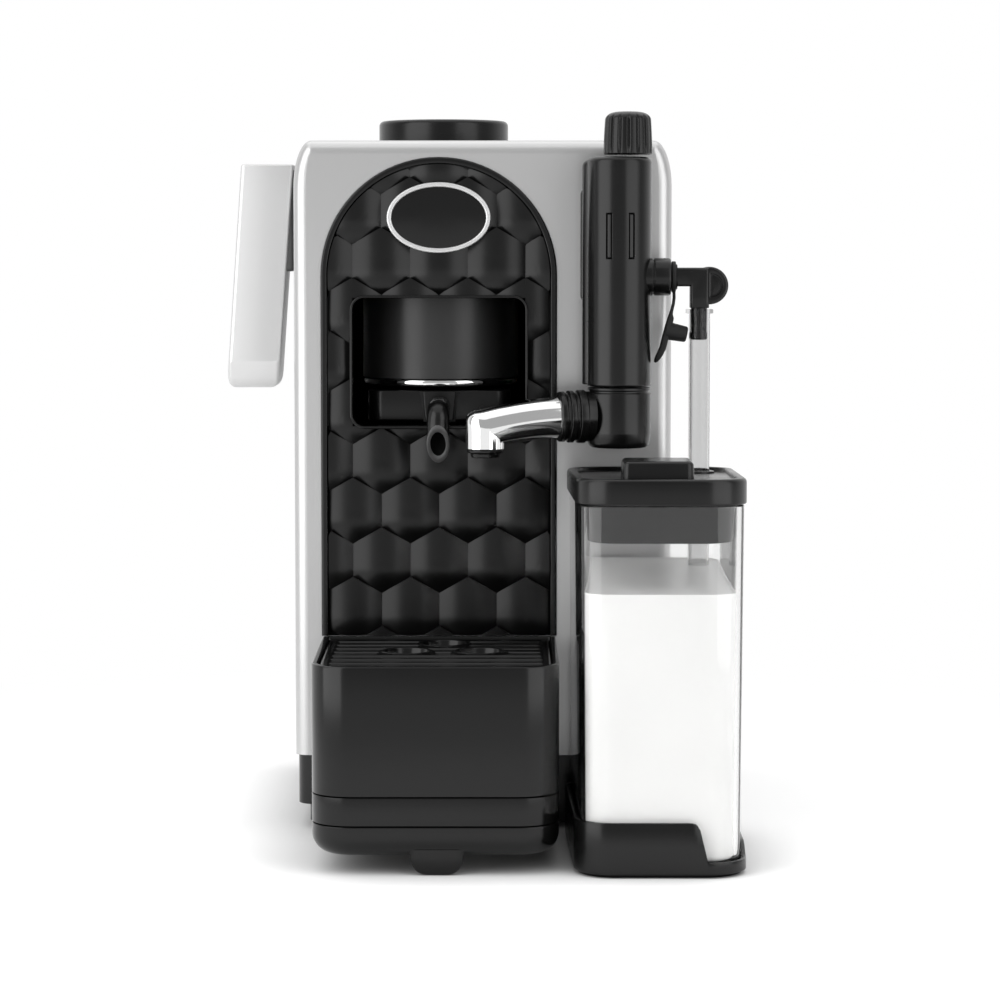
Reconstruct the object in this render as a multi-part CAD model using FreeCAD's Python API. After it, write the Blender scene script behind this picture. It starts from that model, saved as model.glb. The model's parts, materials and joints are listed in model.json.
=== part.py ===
import FreeCAD, Part
import math
import os

# Pod coffee machine with a side lever, a drip tray and a milk frother with its jug.
# Millimetres. +Z is up, the front faces -Y. While it is built, X = 0 is the middle of the
# housing, Y = 0 its front face and Z = 0 the counter; the last step moves the origin to the
# middle of the whole machine's footprint.

V = FreeCAD.Vector
X_AXIS = V(1, 0, 0)

# Clearances
seat_gap = 0.15          # between pieces that are fastened together
slide_gap = 0.3          # round pieces that slide or lift
shaft_gap = 0.05         # radial gap of a running shaft
swing_gap = 0.5          # round pieces that swing past their neighbour
over = 1.0               # how far a cutter runs past the face that it cuts
hair = 0.01              # keeps the two rounded ends of a slot apart

# Housing
body_w = 156.0
body_d = 172.0
body_top = 286.0
shell_bottom = 31.4
shell_wall = 2.5
corner_w = 7.5           # top corners, as quarter ellipses
corner_h = 19.0
front_round = 5.5

# Base and feet
foot_h = 2.2
foot_r = 8.0
foot_inset = 16.0
base_step_z = 10.5
base_side = 1.0          # how far the base stands inside the housing's side
base_tuck = 5.4          # how far its lower part stands inside
base_corner = 8.0
base_wall = 4.0
base_floor = 3.0
rim_h = 8.0
runner_w = 10.0
runner_half_span = 30.0
runner_len = 54.0

# Arched front panel
panel_x = -18.0
panel_w = 97.2
panel_drop = 7.0         # arch below the housing's top
bezel_w = 2.5
bezel_proud = 1.2
panel_face = 1.5         # depth of the panel's ground behind the housing's face
panel_flange = 3.4
panel_flange_t = 3.0

# Honeycomb cells
cell_w = 23.8            # across the flats
cell_drop = 124.9        # arch's top to the middle of the row that is centred on the panel
cell_valley = 0.8        # groove between two cells
cell_low = 1.2           # height of a cell's lower end over the ground
cell_high = 3.2          # height of its upper end
cell_crown = 34.0        # radius of its curve from side to side
cell_margin = 1.6        # groove between the cells and the rim

# Pod window
window_w = 71.2
window_h = 52.7
window_drop = 64.7       # below the housing's top
window_round = 5.0
window_lip = 1.6
window_proud = 1.0
window_depth = 7.5

# Oval badge
badge_drop = 24.7        # arch's top to the middle of the badge
badge_w = 42.8
badge_h = 29.0
badge_edge = 2.0
badge_proud = 4.2
badge_sink = 0.9         # how far the plate lies behind its rim

# Brew group
group_y = 42.0
head_d = 65.8
head_h = 41.8
head_drop = 60.0         # below the housing's top
ring_h = 3.4
screen_t = 1.2
screen_d = 46.0
screen_rings = 4
screen_hole_d = 1.4
gasket_d = 54.0
gasket_h = 2.8
pod_d = 44.0
pod_play = 1.0           # room round the pod in its seat
holder_d = 59.8
holder_h = 12.7
holder_gap = 1.5         # between the holder and the closed head
seat_depth = 3.0
drain_d = 5.0

# Coffee spout
spout_od = 9.6
spout_bore = 6.4
spout_rise = 4.5         # over the pod holder's foot
spout_root = 8.0         # how deep it goes into the pod holder
spout_reach = 22.0       # tip in front of the housing
spout_drop = 17.0
spout_bend = 9.0
spout_knee = 7.0         # bend in front of the housing

# Brew frame and guides
frame_t = 3.0
frame_w = 84.0
frame_back_y = 80.0
frame_drop = 10.0        # below the housing's top
cheek_front = 20.0
cheek_h = 42.0
shelf_front = 24.0
rod_d = 6.0
rod_half_span = 22.0
rod_back = 14.0          # behind the group's axis
rod_len = 68.0

# Lever, shaft and rack drive
shaft_drop = 31.5        # below the housing's top
shaft_d = 10.0
bush_wall = 3.0
bush_len = 7.0
tooth_module = 1.5
pinion_teeth = 12
pinion_w = 12.0
backlash = 0.45
rack_w = 12.0
rack_back = 6.0
rack_teeth_below = 4
rack_teeth_above = 1
tooth_tip = 1.2
tooth_root = 1.65
lever_open = 100.0       # degrees that the lever lifts
lever_gap = 1.5          # between housing and lever
lever_w = 22.0
lever_depth = 26.0
lever_len = 71.5         # shaft to tip
lever_rise = 22.5        # shaft to the top
lever_out = 6.6          # how far the tip leans outwards
shaft_end_wall = 2.5
lever_round = 2.0
lever_plate_w = 8.0      # plate that holds the shaft, inside the paddle
lever_plate_fall = 22.5  # shaft to the plate's lower end
lever_plate_inset = 1.5

# Drip tray
tray_w = 96.3
tray_len = 100.7
tray_top = 81.2
tray_seam_high = 30.8
tray_seam_low = 19.4
tray_z0 = 7.2
tray_corner = 13.0
tray_back_corner = 3.0
tray_wall = 2.5
tray_ledge = 1.8
tray_floor = 2.8
tray_foot_round = 6.0
tab_w_top = 19.3
tab_w_low = 11.2
tab_t = 7.0
tab_z0 = 0.8
tab_setback = 1.0

# Drip grille
grille_t = 3.5
grille_sink = 0.6
slot_count = 8
slot_w = 3.6
slot_pitch = 11.4
slot_margin = 6.0
drain_hole_d = 19.0
drain_ring = 17.0        # circle that the three drain holes stand on
drain_shift = 2.4        # their middle right of the panel's
drain_y = -34.0
drain_land = 2.4

# Water tank and its lid
tank_x = -18.0
tank_w = 80.0
tank_front = 90.0
tank_z0 = 112.0
tank_drop = 18.0         # below the housing's top
tank_wall = 2.2
tank_corner = 9.0
tank_back_gap = 3.0
neck_bore = 50.0
lid_d = 57.6
lid_h = 12.3             # over the housing's top
lid_round = 2.0
lid_plug_h = 9.0
lid_wall = 2.5
seal_h = 2.6
seal_t = 2.4
filler_y = 122.0

# Pump, boiler, board and pipes
works_x = 48.0
pump_d = 34.0
pump_front = 24.0
pump_back = 90.0
pump_z = 62.0
spigot_len = 4.0
mount_w = 8.0
mount_inset = 10.0
boiler_d = 40.0
boiler_y = 131.0
boiler_h = 112.0
boiler_flange_d = 44.0
boiler_flange_h = 5.0
pipe_d = 6.0
pipe_bend = 9.0
pipe_lead = 1.0          # straight run before the first bend
pipe_rise = 98.0
pipe_seat = 2.0          # depth of the boiler's socket
hose_d = 8.0
hose_bore = 5.0
hose_bend = 11.0
hose_x = 14.0
hose_y = 104.0
steam_drop = 44.5        # below the housing's top
board_t = 1.6
board_front = 20.0
board_back = 95.0
board_low = 112.0
board_high = 196.0
board_gap = 4.0
boss_r = 3.2
boss_inset = 7.0
chip_h = 3.0

# Rear cover, inlet, switch
cover_t = 3.0
vent_count = 7
vent_w = 46.0
vent_h = 3.0
vent_pitch = 8.0
vent_z = 190.0
screw_d = 3.0
screw_head_d = 6.0
screw_head_h = 1.8
screw_len = 10.0
screw_inset = 10.0
tab_block = 12.0
inlet_x = -30.0
inlet_z = 62.0
inlet_w = 30.0
inlet_h = 23.0
inlet_depth = 19.0
inlet_wall = 2.6
inlet_flange = 3.0
inlet_flange_t = 1.6
pin_w = 2.0
pin_h = 4.0
pin_len = 11.0
switch_x = -30.0
switch_z = 98.0
switch_w = 20.0
switch_h = 13.0
switch_back = 3.0
switch_proud = 2.0
switch_throw = 12.0      # degrees between off and on

# Push buttons on the top
button_d = 14.0
button_y = 42.0
button_x1 = 41.0
button_x2 = 60.0
button_proud = 0.6
button_flange = 1.6
button_flange_t = 1.6

# Milk frother
frother_x = 55.5
frother_y = -20.0
barrel_d = 26.0
barrel_len = 92.5
barrel_drop = 7.5        # below the housing's top
barrel_round = 2.0
bracket_x0 = 40.0
bracket_x1 = 71.0
bracket_h = 45.0
bracket_drop = 14.5      # below the barrel's top
bracket_t = 8.0
bracket_round = 3.0
bracket_neck = 19.0
groove_half_span = 4.8
groove_w = 2.0
groove_len = 17.0
groove_drop = 20.5       # below the barrel's top
groove_depth = 1.0
knob_shift = 3.2
knob_d = 19.4
knob_gap = 1.0           # over the barrel's top
knob_h = 17.3
knob_round = 3.0
knob_ribs = 14
rib_r = 0.9
stem_d = 8.0
stem_len = 14.0

# Swivelling milk spout
swivel_len = 25.0
swivel_gap = 0.5
swivel_round = 2.0
spigot_r = 7.0
spigot_h = 10.0
swing_angle = 11.0       # degrees that the arm points forwards of straight left
arm_drop = 12.3          # below the barrel's foot
collar_d = 21.6
collar_end = 25.0        # from the barrel's axis
collar_ring_w = 2.6
collar_ring_step = 1.0
arm_d = 15.0
arm_bore = 11.0
arm_fall = 2.7           # slope of the arm down to its bend
arm_reach = 57.0
arm_root = 3.0
arm_crest = 40.0
arm_bend = 9.5
arm_tip_drop = 13.5
outlet_wall = 1.4
outlet_h = 1.8

# Milk port, elbow, tube and stopper
port_drop = 48.3         # below the barrel's top
port_d = 15.0
port_body_len = 6.4
port_neck_d = 11.0
port_neck_len = 2.6
port_flange_t = 1.6
port_root = 3.0
port_fit = 0.08
port_end_gap = 1.0
elbow_d = 8.5
elbow_plug = 8.0         # how deep the elbow goes into the port
elbow_disc_d = 16.6
elbow_disc_t = 10.0
elbow_disc_rim = 2.2
elbow_shift = 3.2        # disc's middle outside the tube
elbow_drop = 1.6         # the disc stands a little lower than the arm
tube_od = 8.6
tube_bore = 5.6
tube_out = 32.6          # from the barrel's axis to the tube
tube_drop = 13.2         # tube's top below the port
tube_foot_gap = 12.0
barb_d = 5.4
barb_len = 12.0
stopper_ring_wall = 2.6
strap_w = 6.0
strap_t = 1.8
strap_drop = 34.2        # strap's tip below the port
strap_lean = 4.4
plug_drop = 22.2         # plug below the port
plug_d = 7.6
plug_len = 9.0
plug_taper = 0.7

# Milk jug, lid and cradle
jug_gap = 3.9            # between drip tray and lid
jug_lid_w = 68.4
jug_lid_len = 104.0
jug_lid_corner = 15.0
jug_lid_h = 8.5
jug_clear = 9.0          # lid below the swivelling spout
jug_lid_front = -105.0
jug_lid_rim = 3.5
jug_lid_sink = 1.6
jug_lid_deck = 3.0
jug_side = 1.2           # lid overhang over the jug
jug_draft = 1.0          # jug's taper on each side
jug_wall = 2.2
jug_corner = 13.0
skirt_h = 14.7
skirt_wall = 2.4
grip_w = 30.0
grip_len = 26.0
grip_h = 7.3
grip_front = 12.0        # behind the lid's front edge
grip_round = 2.5
cradle_side = 0.4        # cradle's wall outside the jug
cradle_wall = 2.2
cradle_floor = 2.5
cradle_h = 21.6
cradle_low = 6.2
cradle_side_h = 10.6     # wall on the right
cradle_notch_w = 16.5
cradle_notch_len = 27.0

# Places worked out from the sizes above
body_half = body_w / 2
inner_half = body_half - shell_wall
panel_top = body_top - panel_drop
panel_r = panel_w / 2
panel_spring_z = panel_top - panel_r
cell_first_z = panel_top - cell_drop
badge_z = panel_top - badge_drop
window_z1 = body_top - window_drop
window_z0 = window_z1 - window_h
head_top = body_top - head_drop
head_bottom = head_top - head_h
holder_z1 = head_bottom - holder_gap
holder_z0 = holder_z1 - holder_h
spout_axis_z = holder_z0 + spout_rise
spout_tip_z = spout_axis_z - spout_drop
frame_top = body_top - frame_drop
cheek_bottom = frame_top - cheek_h
rod_bottom = frame_top - rod_len
shaft_z = body_top - shaft_drop
lever_tip_z = shaft_z - lever_len
tank_z1 = body_top - tank_drop
tank_cover_z = tank_z1 - tank_wall
tank_x0 = tank_x - tank_w / 2
tank_x1 = tank_x + tank_w / 2
lid_top = body_top + lid_h
steam_z = body_top - steam_drop
barrel_z1 = body_top - barrel_drop
barrel_z0 = barrel_z1 - barrel_len
bracket_z1 = barrel_z1 - bracket_drop
bracket_z0 = bracket_z1 - bracket_h
groove_z1 = barrel_z1 - groove_drop
groove_z0 = groove_z1 - groove_len
knob_z0 = barrel_z1 + knob_gap
knob_top = knob_z0 + knob_h
swivel_z0 = barrel_z0 - swivel_len
arm_z = barrel_z0 - arm_drop
arm_slope_end = arm_z - arm_fall
arm_tip_z = arm_z - arm_tip_drop
port_z = barrel_z1 - port_drop
tube_top = port_z - tube_drop
strap_tip_z = port_z - strap_drop
plug_z = port_z - plug_drop
jug_lid_z1 = swivel_z0 - jug_clear
jug_lid_z0 = jug_lid_z1 - jug_lid_h
skirt_z0 = jug_lid_z0 - skirt_h
grip_top = jug_lid_z1 + grip_h
window_x0 = panel_x - window_w / 2
window_x1 = panel_x + window_w / 2
pinion_r = tooth_module * pinion_teeth / 2
head_travel = math.radians(lever_open) * pinion_r
tray_x0 = panel_x - tray_w / 2
tray_x1 = panel_x + tray_w / 2
tray_y0 = -slide_gap - tray_len
tray_y1 = -slide_gap
lever_x1 = -body_half - lever_gap
knob_x = frother_x + knob_shift
tube_x = frother_x + tube_out
jug_lid_x0 = tray_x1 + jug_gap
jug_lid_x1 = jug_lid_x0 + jug_lid_w
jug_lid_y1 = jug_lid_front + jug_lid_len
tank_y1 = body_d - cover_t - tank_back_gap
grille_z0 = tray_top - grille_sink - grille_t
panel_bottom = tray_top + slide_gap
plug_ring_r = neck_bore / 2 - seal_t
boiler_inlet_y = boiler_y - boiler_d / 2 + pipe_seat
port_x0 = frother_x + barrel_d / 2 - port_root
port_x1 = frother_x + barrel_d / 2 + port_body_len
port_x2 = port_x1 + port_neck_len + port_flange_t


# Small builders
def box(x0, x1, y0, y1, z0, z1):
    return Part.makeBox(x1 - x0, y1 - y0, z1 - z0, V(x0, y0, z0))


def rod(radius, start, end):
    span = end - start
    return Part.makeCylinder(radius, span.Length, start, span)


def tube(radius, bore, start, end):
    return rod(radius, start, end).cut(rod(bore, start, end))


def on_plan(u, v):
    return V(u, v, 0)


def on_front(u, v):
    return V(u, 0, v)


def rounded_face(u0, u1, v0, v1, radii, place):
    """A rectangle with its own radius at each corner: low left, low right, high right, high left."""
    corners = ((u0, v0, 1, 1), (u1, v0, -1, 1), (u1, v1, -1, -1), (u0, v1, 1, -1))
    edges = []
    marks = []
    lean = 1 - math.sqrt(0.5)
    for index, ((u, v, du, dv), r) in enumerate(zip(corners, radii)):
        along_u = place(u + du * r, v)
        along_v = place(u, v + dv * r)
        middle = place(u + du * r * lean, v + dv * r * lean)
        first, last = (along_v, along_u) if index % 2 == 0 else (along_u, along_v)
        edges.append(Part.Arc(first, middle, last).toShape())
        marks.append((first, last))
    for index in range(len(marks)):
        leaves = marks[index][1]
        meets = marks[(index + 1) % len(marks)][0]
        edges.append(Part.LineSegment(leaves, meets).toShape())
    return Part.Face(Part.Wire(Part.__sortEdges__(edges)))


def rounded_block(x0, x1, y0, y1, z0, z1, radii):
    """An upright block with rounded corners in plan; radii is one size or one per corner."""
    sizes = radii if isinstance(radii, tuple) else (radii,) * 4
    face = rounded_face(x0, x1, y0, y1, sizes, on_plan)
    face.translate(V(0, 0, z0))
    return face.extrude(V(0, 0, z1 - z0))


def front_block(x0, x1, z0, z1, y0, y1, radius):
    """A block with rounded corners as seen from the front."""
    face = rounded_face(x0, x1, z0, z1, (radius,) * 4, on_front)
    face.translate(V(0, y0, 0))
    return face.extrude(V(0, y1 - y0, 0))


def prism(points, travel):
    return Part.Face(Part.makePolygon(points + points[:1])).extrude(travel)


def oval(width, height, centre_x, centre_z, y0, y1):
    centre = V(centre_x, y0, centre_z)
    shape = Part.Ellipse(centre + V(width / 2, 0, 0), centre + V(0, 0, height / 2), centre)
    face = Part.Face(Part.Wire(shape.toShape()))
    return face.extrude(V(0, y1 - y0, 0))


def arch(grow, bottom, y0, y1):
    """The front panel's arch, grown by a margin."""
    radius = panel_r + grow
    left = V(panel_x - radius, y0, panel_spring_z)
    right = V(panel_x + radius, y0, panel_spring_z)
    crown = V(panel_x, y0, panel_spring_z + radius)
    low_left = V(left.x, y0, bottom)
    low_right = V(right.x, y0, bottom)
    edges = [
        Part.LineSegment(low_left, low_right).toShape(),
        Part.LineSegment(low_right, right).toShape(),
        Part.Arc(right, crown, left).toShape(),
        Part.LineSegment(left, low_left).toShape(),
    ]
    return Part.Face(Part.Wire(edges)).extrude(V(0, y1 - y0, 0))


def bent_path(points, radius):
    """Straight runs joined by tangent arcs of one radius."""
    edges = []
    start = points[0]
    for before, corner, after in zip(points, points[1:], points[2:]):
        back = (before - corner).normalize()
        ahead = (after - corner).normalize()
        half = back.getAngle(ahead) / 2
        reach = radius / math.tan(half)
        bisector = (back + ahead).normalize()
        centre = corner + bisector * (radius / math.sin(half))
        enter = corner + back * reach
        leave = corner + ahead * reach
        edges.append(Part.LineSegment(start, enter).toShape())
        edges.append(Part.Arc(enter, centre - bisector * radius, leave).toShape())
        start = leave
    edges.append(Part.LineSegment(start, points[-1]).toShape())
    return Part.Wire(edges)


def swept(points, bend, radius):
    """A round bar along straight runs and arcs."""
    path = bent_path(points, bend)
    circle = Part.Circle(points[0], points[1] - points[0], radius).toShape()
    return path.makePipeShell([Part.Wire(circle)], True, False)


def rounded_edges(shape, radius, chosen):
    return shape.makeFillet(radius, [edge for edge in shape.Edges if chosen(edge)])


def at_height(z):
    return lambda edge: abs(edge.BoundBox.ZMin - z) < 1e-4 and abs(edge.BoundBox.ZMax - z) < 1e-4


def turned(radius, z0, z1, x, y):
    return rod(radius, V(x, y, z0), V(x, y, z1))


# Housing
def housing_block(inset, y0, y1, bottom):
    """The housing's front outline, with quarter ellipses at the top corners, carried back."""
    half = body_half - inset
    top = body_top - inset
    across = corner_w - inset
    down = corner_h - inset
    low_left = V(-half, y0, bottom)
    low_right = V(half, y0, bottom)
    edges = [Part.LineSegment(low_left, low_right).toShape()]
    shoulders = []
    for side in (-1, 1):
        centre = V(side * (half - across), y0, top - down)
        high = centre + V(0, 0, down)
        wide = centre + V(side * across, 0, 0)
        quarter = Part.ArcOfEllipse(Part.Ellipse(high, wide, centre), 0, math.pi / 2)
        edges.append(quarter.toShape())
        edges.append(Part.LineSegment(wide, V(side * half, y0, bottom)).toShape())
        shoulders.append(high)
    edges.append(Part.LineSegment(shoulders[0], shoulders[1]).toShape())
    return Part.Face(Part.Wire(Part.__sortEdges__(edges))).extrude(V(0, y1 - y0, 0))


def cover_screw_places():
    across = inner_half - screw_inset
    low = shell_bottom + rim_h + screw_inset
    high = body_top - corner_h - screw_inset
    return [(side * across, z) for side in (-1, 1) for z in (low, high)]


def board_corners():
    ys = (board_front + boss_inset, board_back - boss_inset)
    zs = (board_low + boss_inset, board_high - boss_inset)
    return [(y, z) for y in ys for z in zs]


def button_places():
    return ((button_x1, button_y), (button_x2, button_y))


def body_shell():
    outer = housing_block(0, 0, body_d, shell_bottom)

    def front_edge(edge):
        on_face = abs(edge.BoundBox.YMax) < 1e-4
        return on_face and edge.BoundBox.ZMax > shell_bottom + over

    outer = rounded_edges(outer, front_round, front_edge)
    shell = outer.cut(housing_block(shell_wall, shell_wall, body_d + over, shell_bottom - over))
    cover_y = body_d - cover_t
    for x, z in cover_screw_places():
        near = x - math.copysign(tab_block / 2, x)
        wall = math.copysign(inner_half + shell_wall / 2, x)
        tab = box(min(near, wall), max(near, wall), cover_y - tab_block, cover_y,
                  z - tab_block / 2, z + tab_block / 2)
        shell = shell.fuse(tab)
        hole = rod(screw_d / 2 + seat_gap, V(x, cover_y - tab_block - over, z), V(x, body_d, z))
        shell = shell.cut(hole)
    for y, z in board_corners():
        wall = V(inner_half + shell_wall / 2, y, z)
        shell = shell.fuse(rod(boss_r, V(inner_half - board_gap, y, z), wall))
    shell = shell.cut(arch(seat_gap, panel_bottom - seat_gap, -over, shell_wall + over))
    filler = turned(neck_bore / 2, body_top - 2 * shell_wall, body_top + over, tank_x, filler_y)
    shell = shell.cut(filler)
    for x, y in button_places():
        hole = turned(button_d / 2 + slide_gap, body_top - 2 * shell_wall, body_top + over, x, y)
        shell = shell.cut(hole)
    shaft_hole = rod(shaft_d / 2 + swing_gap, V(-body_half - over, group_y, shaft_z),
                     V(-inner_half + over, group_y, shaft_z))
    shell = shell.cut(shaft_hole)
    pipe_hole = rod(pipe_d / 2 + seat_gap, V(works_x, -over, steam_z),
                    V(works_x, shell_wall + over, steam_z))
    return shell.cut(pipe_hole).removeSplitter()


def base_chassis():
    side = body_half - base_side
    low_side = body_half - base_tuck
    back = body_d - base_side
    low_back = body_d - base_tuck
    upper = rounded_block(-side, side, base_side, back, base_step_z, shell_bottom, base_corner)
    lower = rounded_block(-low_side, low_side, base_tuck, low_back, foot_h, base_step_z, base_corner)
    rim_half = inner_half - seat_gap
    rim_front = shell_wall + panel_flange_t + 2 * seat_gap
    rim_back = body_d - cover_t - seat_gap
    rim = rounded_block(-rim_half, rim_half, rim_front, rim_back, shell_bottom,
                        shell_bottom + rim_h, base_corner)
    hollow_half = rim_half - base_wall
    hollow = rounded_block(-hollow_half, hollow_half, rim_front + base_wall, rim_back - base_wall,
                           base_step_z + base_floor, shell_bottom + rim_h + over, base_corner)
    base = upper.fuse([lower, rim])
    for x in runner_centres():
        runner = box(x - runner_w / 2, x + runner_w / 2, -runner_len, base_tuck + base_wall,
                     foot_h, tray_z0 - slide_gap)
        base = base.fuse(runner)
    base = base.cut(hollow)
    for x, z in cover_screw_places():
        reach = tab_block / 2 + seat_gap
        room = box(x - reach, x + reach, body_d - cover_t - tab_block - seat_gap, body_d,
                   z - reach, z + reach)
        base = base.cut(room)
    floor_z = base_step_z + base_floor
    for y in pump_mount_places():
        post = box(works_x - mount_w, works_x + mount_w, y - mount_w / 2, y + mount_w / 2,
                   floor_z - over, pump_z - pump_d / 2 - mount_w)
        base = base.fuse(post)
    pillar = turned(boiler_flange_d / 2, floor_z - over, shell_bottom, works_x, boiler_y)
    base = base.fuse(pillar)
    for y0, y1 in frame_foot_spans():
        pad = box(panel_x - frame_w / 2, panel_x + frame_w / 2, y0, y1, floor_z - over, shell_bottom)
        base = base.fuse(pad)
    return base.removeSplitter()


def runner_centres():
    return (panel_x - runner_half_span, panel_x + runner_half_span)


def pump_mount_places():
    return (pump_front + mount_inset, pump_back - mount_inset)


def frame_foot_spans():
    return ((frame_back_y - frame_t, frame_back_y + 2 * frame_t),)


def rubber_feet():
    side = body_half - base_tuck - foot_inset
    depths = (base_tuck + foot_inset, body_d - base_tuck - foot_inset)
    places = [(x, y) for x in (-side, side) for y in depths]
    feet = [turned(foot_r, 0, foot_h, x, y) for x, y in places]
    runner_foot_r = runner_w / 2 - seat_gap
    for x in runner_centres():
        feet.append(turned(runner_foot_r, 0, foot_h, x, -runner_len + runner_w))
    return Part.makeCompound(feet)


def rear_cover():
    cover = housing_block(shell_wall + seat_gap, body_d - cover_t, body_d, shell_bottom + seat_gap)
    for index in range(vent_count):
        z = vent_z + (index - (vent_count - 1) / 2) * vent_pitch
        slot = front_block(tank_x - vent_w / 2, tank_x + vent_w / 2, z - vent_h / 2, z + vent_h / 2,
                           body_d - cover_t - over, body_d + over, vent_h / 2 - hair)
        cover = cover.cut(slot)
    for x, z in cover_screw_places():
        hole = rod(screw_d / 2 + seat_gap, V(x, body_d - cover_t - over, z), V(x, body_d + over, z))
        sink = rod(screw_head_d / 2 + seat_gap, V(x, body_d - screw_head_h, z), V(x, body_d + over, z))
        cover = cover.cut([hole, sink])
    inlet = front_block(inlet_x - inlet_w / 2 - seat_gap, inlet_x + inlet_w / 2 + seat_gap,
                        inlet_z - inlet_h / 2 - seat_gap, inlet_z + inlet_h / 2 + seat_gap,
                        body_d - cover_t - over, body_d + over, inlet_wall)
    rocker = box(switch_x - switch_w / 2 - swing_gap, switch_x + switch_w / 2 + swing_gap,
                 body_d - cover_t - over, body_d + over,
                 switch_z - switch_h / 2 - swing_gap, switch_z + switch_h / 2 + swing_gap)
    return cover.cut([inlet, rocker])


def case_screws():
    screws = []
    for x, z in cover_screw_places():
        seat_y = body_d - screw_head_h
        head = rod(screw_head_d / 2, V(x, seat_y, z), V(x, body_d, z))
        stem = rod(screw_d / 2, V(x, seat_y - screw_len, z), V(x, seat_y, z))
        screws.append(head.fuse(stem).removeSplitter())
    return Part.makeCompound(screws)


# Front panel
def panel_bezel():
    outer = arch(0, panel_bottom, -bezel_proud, shell_wall)
    return outer.cut(arch(-bezel_w, panel_bottom - over, -bezel_proud - over, shell_wall + over))


def window_hole(grow, y0, y1):
    return front_block(window_x0 - grow, window_x1 + grow, window_z0 - grow, window_z1 + grow,
                       y0, y1, window_round + grow)


def honeycomb_cell(x, z):
    """One pillow: curved from side to side, with its lower end further out than its upper end."""
    side = (cell_w - cell_valley) / math.sqrt(3)
    corners = []
    for index in range(6):
        turn = math.radians(60 * index + 30)
        corners.append(V(x + side * math.cos(turn), panel_face + 0.5, z + side * math.sin(turn)))
    column = prism(corners, V(0, -cell_high - over, 0))
    slope = (cell_low - cell_high) / (2 * side)
    middle_y = panel_face - (cell_low + cell_high) / 2 + cell_crown
    axis = V(0, slope, 1)
    crown = rod(cell_crown, V(x, middle_y, z) - axis * cell_w, V(x, middle_y, z) + axis * cell_w)
    return column.common(crown)


def honeycomb_places():
    row_pitch = 1.5 * cell_w / math.sqrt(3)
    places = []
    rows_down = math.ceil((cell_first_z - panel_bottom) / row_pitch)
    rows_up = math.ceil((panel_top - cell_first_z) / row_pitch)
    columns = math.ceil(panel_r / cell_w) + 1
    for row in range(-rows_down, rows_up + 1):
        shift = cell_w / 2 if row % 2 else 0
        for column in range(-columns, columns + 1):
            x = panel_x + shift + column * cell_w
            places.append((x, cell_first_z + row * row_pitch))
    return places


def honeycomb_panel():
    back_y = shell_wall + panel_flange_t
    ground = arch(-bezel_w - seat_gap, panel_bottom, panel_face, back_y)
    flange = arch(panel_flange, panel_bottom - panel_flange, shell_wall + seat_gap, back_y)
    field = arch(-bezel_w - cell_margin, panel_bottom, -cell_high - over, panel_face + over)
    field = field.cut(window_hole(window_lip + cell_margin / 2, -cell_high - 2 * over, panel_face + 2 * over))
    field = field.cut(oval(badge_w + cell_margin, badge_h + cell_margin, panel_x, badge_z,
                           -cell_high - 2 * over, panel_face + 2 * over))
    cells = []
    for x, z in honeycomb_places():
        cell = honeycomb_cell(x, z).common(field)
        cells.extend(solid for solid in cell.Solids if solid.Volume > 1)
    panel = ground.fuse([flange] + cells).removeSplitter()
    return panel.cut(window_hole(window_lip + seat_gap, -over, back_y + over))


def window_frame():
    outer = window_hole(window_lip, panel_face - cell_high - window_proud, window_depth)
    return outer.cut(window_hole(0, -cell_high - window_proud - over, window_depth + over))


def badge_rim():
    y0 = panel_face - badge_proud
    outer = oval(badge_w, badge_h, panel_x, badge_z, y0, panel_face)
    inner = oval(badge_w - 2 * badge_edge, badge_h - 2 * badge_edge, panel_x, badge_z,
                 y0 - over, panel_face + over)
    return outer.cut(inner)


def badge_plate():
    width = badge_w - 2 * (badge_edge + seat_gap)
    height = badge_h - 2 * (badge_edge + seat_gap)
    return oval(width, height, panel_x, badge_z, panel_face - badge_proud + badge_sink, panel_face)


# Brew group
def brew_head():
    head = turned(head_d / 2, head_bottom + ring_h, head_top, panel_x, group_y)
    for x, y in rod_places():
        bore = turned(rod_d / 2 + shaft_gap, rod_bottom - head_travel - over, head_top + over, x, y)
        head = head.cut(bore)
    return head


def rod_places():
    y = group_y + rod_back
    return ((panel_x - rod_half_span, y), (panel_x + rod_half_span, y))


def ring_round_group(outer_d, inner_d, z0, z1):
    return turned(outer_d / 2, z0, z1, panel_x, group_y).cut(turned(inner_d / 2, z0, z1, panel_x, group_y))


def head_ring():
    return ring_round_group(head_d, gasket_d + 2 * seat_gap, head_bottom, head_bottom + ring_h)


def head_gasket():
    z1 = head_bottom + ring_h
    return ring_round_group(gasket_d, screen_d + 2 * seat_gap, z1 - gasket_h, z1)


def shower_screen():
    z1 = head_bottom + ring_h
    screen = turned(screen_d / 2, z1 - screen_t, z1, panel_x, group_y)
    holes = []
    for ring in range(1, screen_rings + 1):
        for index in range(6 * ring):
            turn = 2 * math.pi * index / (6 * ring)
            reach = screen_d / 2 * ring / (screen_rings + 1)
            x = panel_x + reach * math.cos(turn)
            y = group_y + reach * math.sin(turn)
            holes.append(turned(screen_hole_d / 2, z1 - screen_t - over, z1 + over, x, y))
    return screen.cut(holes)


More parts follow.
